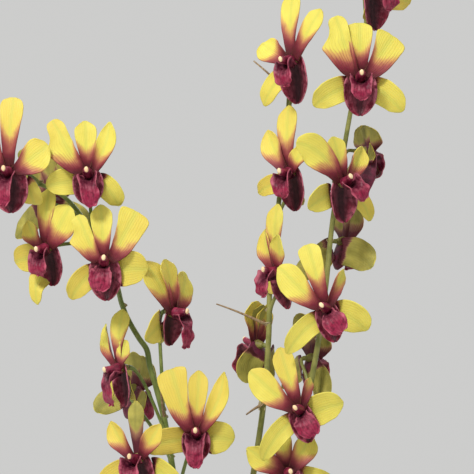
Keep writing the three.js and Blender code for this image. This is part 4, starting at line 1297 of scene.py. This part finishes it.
def makeBed():
    low, high = potSizes["floor"] + 0.3, barkSizes["bedTop"]
    outer, inner = potRadius(low) - barkSizes["bedClear"], potRadius(high) - barkSizes["bedTopClear"]
    outline = [(outer, low), (inner, high)]
    outline += [(inner * share, high + 1) for share in (0.86, 0.7, 0.54, 0.38, 0.22, 0.08)]
    bed = ringTube("barkBed", [((0, 0, height), radius, radius) for radius, height in outline], 48, "Z")
    edit(bed)
    loose = [vert.index for vert in bmesh.from_edit_mesh(bed.data).verts if vert.co.z > high * mm + 0.5 * mm]
    pick(bed, loose)
    bpy.ops.transform.vertex_random(offset=barkSizes["bedRough"] * mm, seed=4)
    done()
    return dressed(bed, barkDark)


def chipModel(seed, size):
    deselect()
    bpy.ops.mesh.primitive_cube_add(size=1, scale=Vector(size) * mm)
    chip = settle(named(f"chip{seed}"))
    edit(chip)
    bpy.ops.mesh.select_all(action="SELECT")
    bpy.ops.mesh.subdivide(number_cuts=2)
    bpy.ops.transform.vertex_random(offset=barkSizes["chipRough"] * mm, seed=seed)
    done()
    bevel = chip.modifiers.new("bevel", "BEVEL")
    bevel.width = barkSizes["chipBevel"] * mm
    bevel.segments = 1
    bevel.limit_method = "ANGLE"
    bevel.angle_limit = math.radians(barkSizes["bevelFrom"])
    masters.append(dressed(finished(chip), barkBrown))
    return chip


chipShapes = ((22, 14, 6), (17, 12, 7), (13, 10, 5), (26, 11, 5))
chipModels = [chipModel(seed, size) for seed, size in enumerate(chipShapes)]
chipDraw = random.Random(41)
chips = []
inner = potRadius(barkTop) - barkSizes["bedClear"]
caneFeet = [Vector(settings["foot"]) for settings in canes.values()]
for number in range(barkSizes["chips"]):
    model = chipDraw.choice(chipModels)
    reach = max(model.dimensions.x, model.dimensions.y) / 2 / mm
    radius = (inner - reach) * math.sqrt((number + 0.5) / barkSizes["chips"])
    angle = around(number)
    spot = Vector((radius * math.cos(angle), radius * math.sin(angle)))
    level = barkTop - barkSizes["chipSink"] + chipDraw.uniform(-barkSizes["chipLift"], barkSizes["chipLift"])
    lean = barkSizes["chipTilt"]
    tilt = turn("X", chipDraw.uniform(-lean, lean)) @ turn("Y", chipDraw.uniform(-lean, lean))
    spin = turn("Z", chipDraw.uniform(0, 360))
    if min((spot - foot).length for foot in caneFeet) < barkSizes["caneClear"]:
        continue
    place = Matrix.Translation(Vector((spot.x, spot.y, level)) * mm)
    chips.append(stood(copyOf(model, "chipCopy"), place @ spin @ tilt))


def mossModel():
    # a low dome with small leaves all over it
    deselect()
    bpy.ops.mesh.primitive_ico_sphere_add(subdivisions=3, radius=mm, scale=(1, 1, mossSizes["height"]))
    dome = settle(named("mossDome"))
    deselect()
    bpy.ops.mesh.primitive_cone_add(
        vertices=4, radius1=mossSizes["leafRadius"] * mm, depth=mossSizes["leafLength"] * mm,
        location=(0, 0, mossSizes["leafMiddle"] * mm))
    leaf = settle(named("mossLeaf"))
    leaves = []
    for number in range(mossSizes["leaves"]):
        height = 1 - number / mossSizes["leaves"]
        across = math.sqrt(1 - height ** 2)
        angle = around(number)
        spot = Vector((across * math.cos(angle), across * math.sin(angle), height * mossSizes["height"]))
        aside = Vector([chipDraw.uniform(-mossSizes["stray"], mossSizes["stray"]) for axis in range(3)])
        way = Vector((spot.x, spot.y, spot.z * 4)) + aside
        leaves.append(stood(copyOf(leaf, "mossLeafCopy"), pointing(way, spot * mm)))
    masters.append(leaf)
    return dressed(joined("mossModel", [dome, *leaves]), mossGreen)


moss = mossModel()
masters.append(moss)
cushions = []
for number, (x, y, size) in enumerate(mossPads):
    place = Matrix.Translation(Vector((x, y, barkTop - mossSizes["sink"])) * mm)
    spin = turn("Z", 50 * number)
    cushions.append(stood(copyOf(moss, "mossCushion"), place @ spin @ Matrix.Scale(size, 4)))
keep(smoothed(joined("barkFilling", [makeBed(), *chips, *cushions]), 35), "bark", "bark")
print("bark chips:", len(chips), "moss cushions:", len(cushions))

for model in masters:
    bpy.data.objects.remove(model)

# studio: a plain pale floor, soft light, and the camera at the photograph's angle
studio = {
    "target": (0, -0.025, 0.681), "distance": 1.5, "frameWidth": 0.32232, "sensor": 36, "floorRadius": 2.4,
    "air": (0.8, 0.8, 0.79, 1), "airStrength": 0.76, "lampAim": (0, 0, 0.6),
}
deselect()
bpy.ops.mesh.primitive_circle_add(vertices=96, radius=studio["floorRadius"], fill_type="NGON")
floor = named("studioFloor")
floorPaint, tree, shader, place = newMaterial("floorPaint", 0.7, 0.3)
patches = spots(tree, place, 3.0, 2.0, 0.2, 0.8)
wire(tree, blend(tree, patches, (214, 212, 208), (222, 220, 216)), shader.inputs["Base Color"])
dressed(floor, floorPaint)

world = bpy.data.worlds.new("studioWorld")
bpy.context.scene.world = world
world.use_nodes = True
air = world.node_tree.nodes["Background"]
air.inputs["Color"].default_value = studio["air"]
air.inputs["Strength"].default_value = studio["airStrength"]


def softLight(name, place, size, power, tint=(1, 1, 1)):
    light = bpy.data.lights.new(name, "AREA")
    light.shape = "DISK"
    light.size = size
    light.energy = power
    light.color = tint
    lamp = bpy.data.objects.new(name, light)
    lamp.location = place
    aim = Vector(studio["lampAim"]) - Vector(place)
    lamp.rotation_euler = aim.to_track_quat("-Z", "Y").to_euler()
    bpy.context.scene.collection.objects.link(lamp)


softLight("keyLight", (-0.8, -1.3, 2.1), size=0.5, power=38, tint=(1, 0.98, 0.95))
softLight("backLight", (0.5, 1.4, 1.6), size=1.0, power=8)

lens = bpy.data.cameras.new("camera")
camera = bpy.data.objects.new("camera", lens)
bpy.context.scene.collection.objects.link(camera)
target = Vector(studio["target"])
camera.location = target - Vector((0, studio["distance"], 0))
camera.rotation_euler = (math.pi / 2, 0, 0)
lens.sensor_width = studio["sensor"]
lens.lens = lens.sensor_width * studio["distance"] / studio["frameWidth"]
bpy.context.scene.camera = camera
bpy.context.scene.view_settings.view_transform = "Standard"
